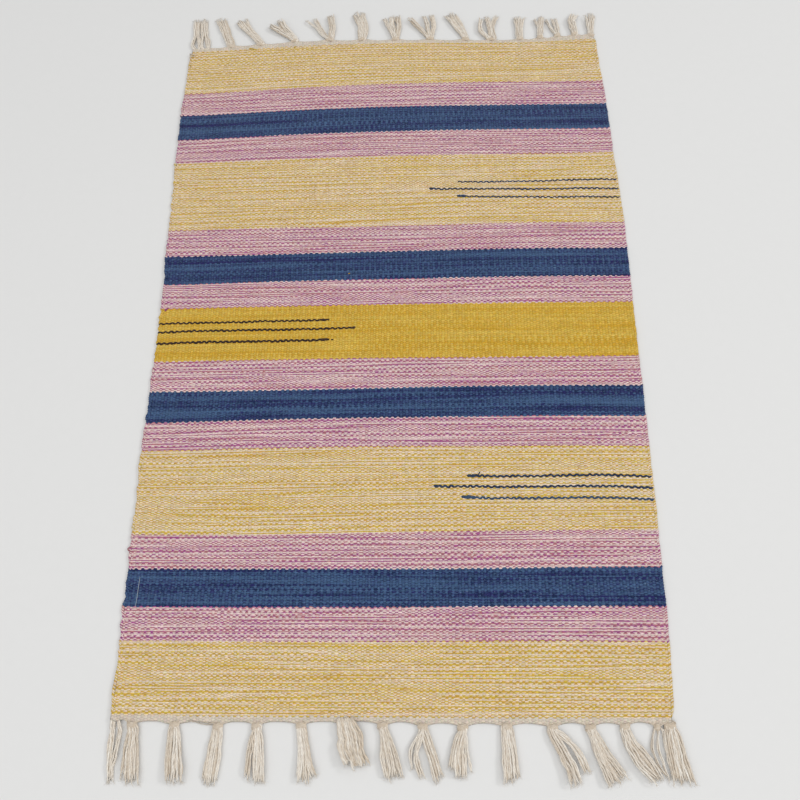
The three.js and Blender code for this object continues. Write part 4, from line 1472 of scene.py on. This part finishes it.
def thread_surface(thread, weft):
    """A loose thread: a smooth path through its points, each so high above the cloth or floor."""
    points = np.array(thread.points) * MM
    path = through(points, 6 * len(points))
    x, y = path[:, 0], path[:, 1]
    outline = weft.outline
    between_hems = (y > outline.near(x)) & (y < outline.far(x))
    on_cloth = between_hems & (x > outline.left(y)) & (x < outline.right(y))
    beside = abs(y) < outline.HEM_START
    path[:, 2] += np.where(on_cloth | beside, weft.top(x, y), thread.radius * MM)
    share = np.linspace(0, 1, len(path))
    radii = thread.radius * MM * np.clip(np.minimum(share, 1 - share) * 8 + 0.35, 0, 1)
    surface = Surface()
    add_tubes(surface, path[None], radii[None], share[None] * 12.0, 0.15, tone=0.6)
    return surface


# Operators


class RUG_OT_wrap_selvedges(bpy.types.Operator):
    """Wrap a cord of weft along each side of the rug"""

    bl_idname = "rug.wrap_selvedges"
    bl_label = "Wrap Selvedges"

    def execute(self, context):
        weft = Weft(Outline())
        material = weave_material("selvedge_cotton", weft.warps)
        for name, side in (("selvedge_left", -1), ("selvedge_right", 1)):
            random = np.random.default_rng(SELVEDGE_SEED + side)
            piece = selvedge_surface(weft, side, random).piece(name, material, maps=("weave",))
            place_piece(piece, "cloth")
        return {"FINISHED"}


class RUG_OT_lay_inlay(bpy.types.Operator):
    """Lay the dark inlaid lines into the cloth"""

    bl_idname = "rug.lay_inlay"
    bl_label = "Lay Inlaid Lines"

    def execute(self, context):
        colours = context.scene.rug_colours
        random = np.random.default_rng(INLAY_SEED)
        for name, shown, dark, pale in (
            ("inlaid_lines", "inlay", colours.inlay, colours.slate),
            ("inlaid_lines_umber", "umber", colours.umber, colours.bark),
        ):
            lines = [line for line in LINES if line.colour == shown]
            material = yarn_material(f"{shown}_cotton", dark, pale, 0.4, slubs=0.5)
            surface = inlay_surface(Weft(Outline()), lines, random)
            place_piece(surface.piece(name, material), "cloth")
        return {"FINISHED"}


class RUG_OT_tie_tassels(bpy.types.Operator):
    """Tie the row of tassels at each end of the rug"""

    bl_idname = "rug.tie_tassels"
    bl_label = "Tie Tassels"

    def execute(self, context):
        colours = context.scene.rug_colours
        weft = Weft(Outline())
        # The yarn's dark end, a warm tan: yarns of random tone lean to it, and the lower layer and
        # the knots' last turns take it as painted shade.
        warm = tuple(part * tint for part, tint in zip(colours.yarn, (0.72, 0.64, 0.55)))
        material = yarn_material("tassel_cotton", warm, colours.yarn, 0.26)
        for end, row, outward, hem in (
            ("near", NEAR_TASSELS, -1, weft.outline.near),
            ("far", FAR_TASSELS, 1, weft.outline.far),
        ):
            for number, tassel in enumerate(row, 1):
                seed = TASSEL_SEED_STEP * (2 + outward) + number
                random = np.random.default_rng(seed)
                root = Root(tassel.x * MM, tassel.y * MM, outward, hem, weft)
                surface = tassel_surface(tassel, root, context.scene.rug_yarn, random)
                piece = surface.piece(f"tied_tassel_{end}_{number:02d}", material)
                place_piece(piece, "tassel_cotton")
                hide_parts(f"tassel_{end}_{number:02d}")
        return {"FINISHED"}


class RUG_OT_pull_threads(bpy.types.Operator):
    """Pull a few thread ends loose from the cloth"""

    bl_idname = "rug.pull_threads"
    bl_label = "Pull Loose Threads"

    def execute(self, context):
        colours = context.scene.rug_colours
        weft = Weft(Outline())
        for number, thread in enumerate(THREADS, 1):
            shown = getattr(colours, thread.colour)
            dark = tuple(0.7 * part for part in shown)
            material = yarn_material(f"thread_{thread.colour}_{number}", dark, shown, 0.25)
            piece = thread_surface(thread, weft).piece(f"loose_thread_{number}", material)
            place_piece(piece, "cloth")
        return {"FINISHED"}


class RUG_OT_weave_cloth(bpy.types.Operator):
    """Weave the cloth, and say what goes with it"""

    bl_idname = "rug.weave_cloth"
    bl_label = "Weave Cloth"

    def execute(self, context):
        weft = Weft(Outline())
        material = weave_material("woven_cotton", weft.warps)
        piece = cloth_surface(weft).piece("woven_cloth", material, maps=("weave", "OFBake"))
        place_piece(piece, "cloth")
        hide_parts(CLOTH_NODE)
        return {"FINISHED"}


# The stage, in metres and degrees. A lamp has its name, the setting that holds its power, its size
# and its place. The sensor's width is in millimetres.
FLOOR_HALF = 4.0
LAMPS = (
    ("softbox", "softbox", 4.4, (-0.2, -0.85, 2.4)),
    ("side_lamp", "side", 1.05, (4.5, 0.9, 3.3)),
)
SENSOR_WIDTH = 36.0
HALF_PIXEL = 0.5 / 800  # of a picture 800 pixels wide
CAMERA_PLACE = (0.0496336, -0.3627903, 0.8103292)
CAMERA_TURNS = (18.2374, 2.6613, 0.0342)


class RUG_OT_set_stage(bpy.types.Operator):
    """Set the floor, the lights and the camera"""

    bl_idname = "rug.set_stage"
    bl_label = "Set Stage"

    def execute(self, context):
        scene = context.scene
        stage = scene.rug_stage
        self.add_floor(scene)
        self.add_sky(scene, stage.sky)
        for name, setting, size, place in LAMPS:
            self.add_lamp(scene, name, getattr(stage, setting), size, place)
        self.add_camera(scene, stage.lens)
        scene.view_settings.view_transform = "Standard"
        return {"FINISHED"}

    def add_floor(self, scene):
        half = FLOOR_HALF
        corners = [(-half, -half, 0), (half, -half, 0), (half, half, 0), (-half, half, 0)]
        mesh = bpy.data.meshes.new("floor")
        mesh.from_pydata(corners, [], [(0, 1, 2, 3)])
        mesh.materials.append(floor_material(scene.rug_colours.floor))
        floor = bpy.data.objects.new("floor", mesh)
        scene.collection.objects.link(floor)

    def add_sky(self, scene, strength):
        world = scene.world or bpy.data.worlds.new("sky")
        scene.world = world
        world.use_nodes = True
        background = world.node_tree.nodes["Background"]
        background.inputs["Color"].default_value = (1.0, 1.0, 1.0, 1)
        background.inputs["Strength"].default_value = strength

    def add_lamp(self, scene, name, power, size, place):
        """A square lamp that faces the rug's middle."""
        light = bpy.data.lights.new(name, "AREA")
        light.energy = power
        light.shape = "SQUARE"
        light.size = size
        lamp = bpy.data.objects.new(name, light)
        lamp.location = place
        lamp.rotation_euler = (-Vector(place)).to_track_quat("-Z", "Y").to_euler()
        scene.collection.objects.link(lamp)

    def add_camera(self, scene, lens):
        view = bpy.data.cameras.new("camera")
        view.lens = lens
        view.sensor_width = SENSOR_WIDTH
        view.shift_x = -HALF_PIXEL
        view.shift_y = HALF_PIXEL
        camera = bpy.data.objects.new("camera", view)
        camera.location = CAMERA_PLACE
        camera.rotation_euler = Euler([math.radians(turn) for turn in CAMERA_TURNS])
        scene.collection.objects.link(camera)
        scene.camera = camera


class RUG_PT_panel(bpy.types.Panel):
    """Lists the steps that make the rug"""

    bl_idname = "RUG_PT_panel"
    bl_label = "Flat-woven Rug"
    bl_space_type = "VIEW_3D"
    bl_region_type = "UI"
    bl_category = "Rug"

    def draw(self, context):
        layout = self.layout
        for step in STEPS:
            layout.operator(step.bl_idname)
        for name, group in SETTINGS:
            column = layout.column(heading=group.__doc__)
            for setting in group.__annotations__:
                column.prop(getattr(context.scene, name), setting)


STEPS = (
    RUG_OT_wrap_selvedges,
    RUG_OT_lay_inlay,
    RUG_OT_tie_tassels,
    RUG_OT_pull_threads,
    RUG_OT_weave_cloth,
    RUG_OT_set_stage,
)
SETTINGS = (
    ("rug_weave", RugWeaveSizes),
    ("rug_yarn", RugYarnSizes),
    ("rug_colours", RugColours),
    ("rug_stage", RugStage),
)


def register():
    for name, group in SETTINGS:
        bpy.utils.register_class(group)
        setattr(bpy.types.Scene, name, PointerProperty(type=group))
    for made in (*STEPS, RUG_PT_panel):
        bpy.utils.register_class(made)


def unregister():
    for made in (RUG_PT_panel, *reversed(STEPS)):
        bpy.utils.unregister_class(made)
    for name, group in reversed(SETTINGS):
        delattr(bpy.types.Scene, name)
        bpy.utils.unregister_class(group)


def main():
    register()
    bpy.ops.rug.wrap_selvedges()
    bpy.ops.rug.lay_inlay()
    bpy.ops.rug.tie_tassels()
    bpy.ops.rug.pull_threads()
    bpy.ops.rug.weave_cloth()
    bpy.ops.rug.set_stage()


if __name__ == "__main__":
    main()
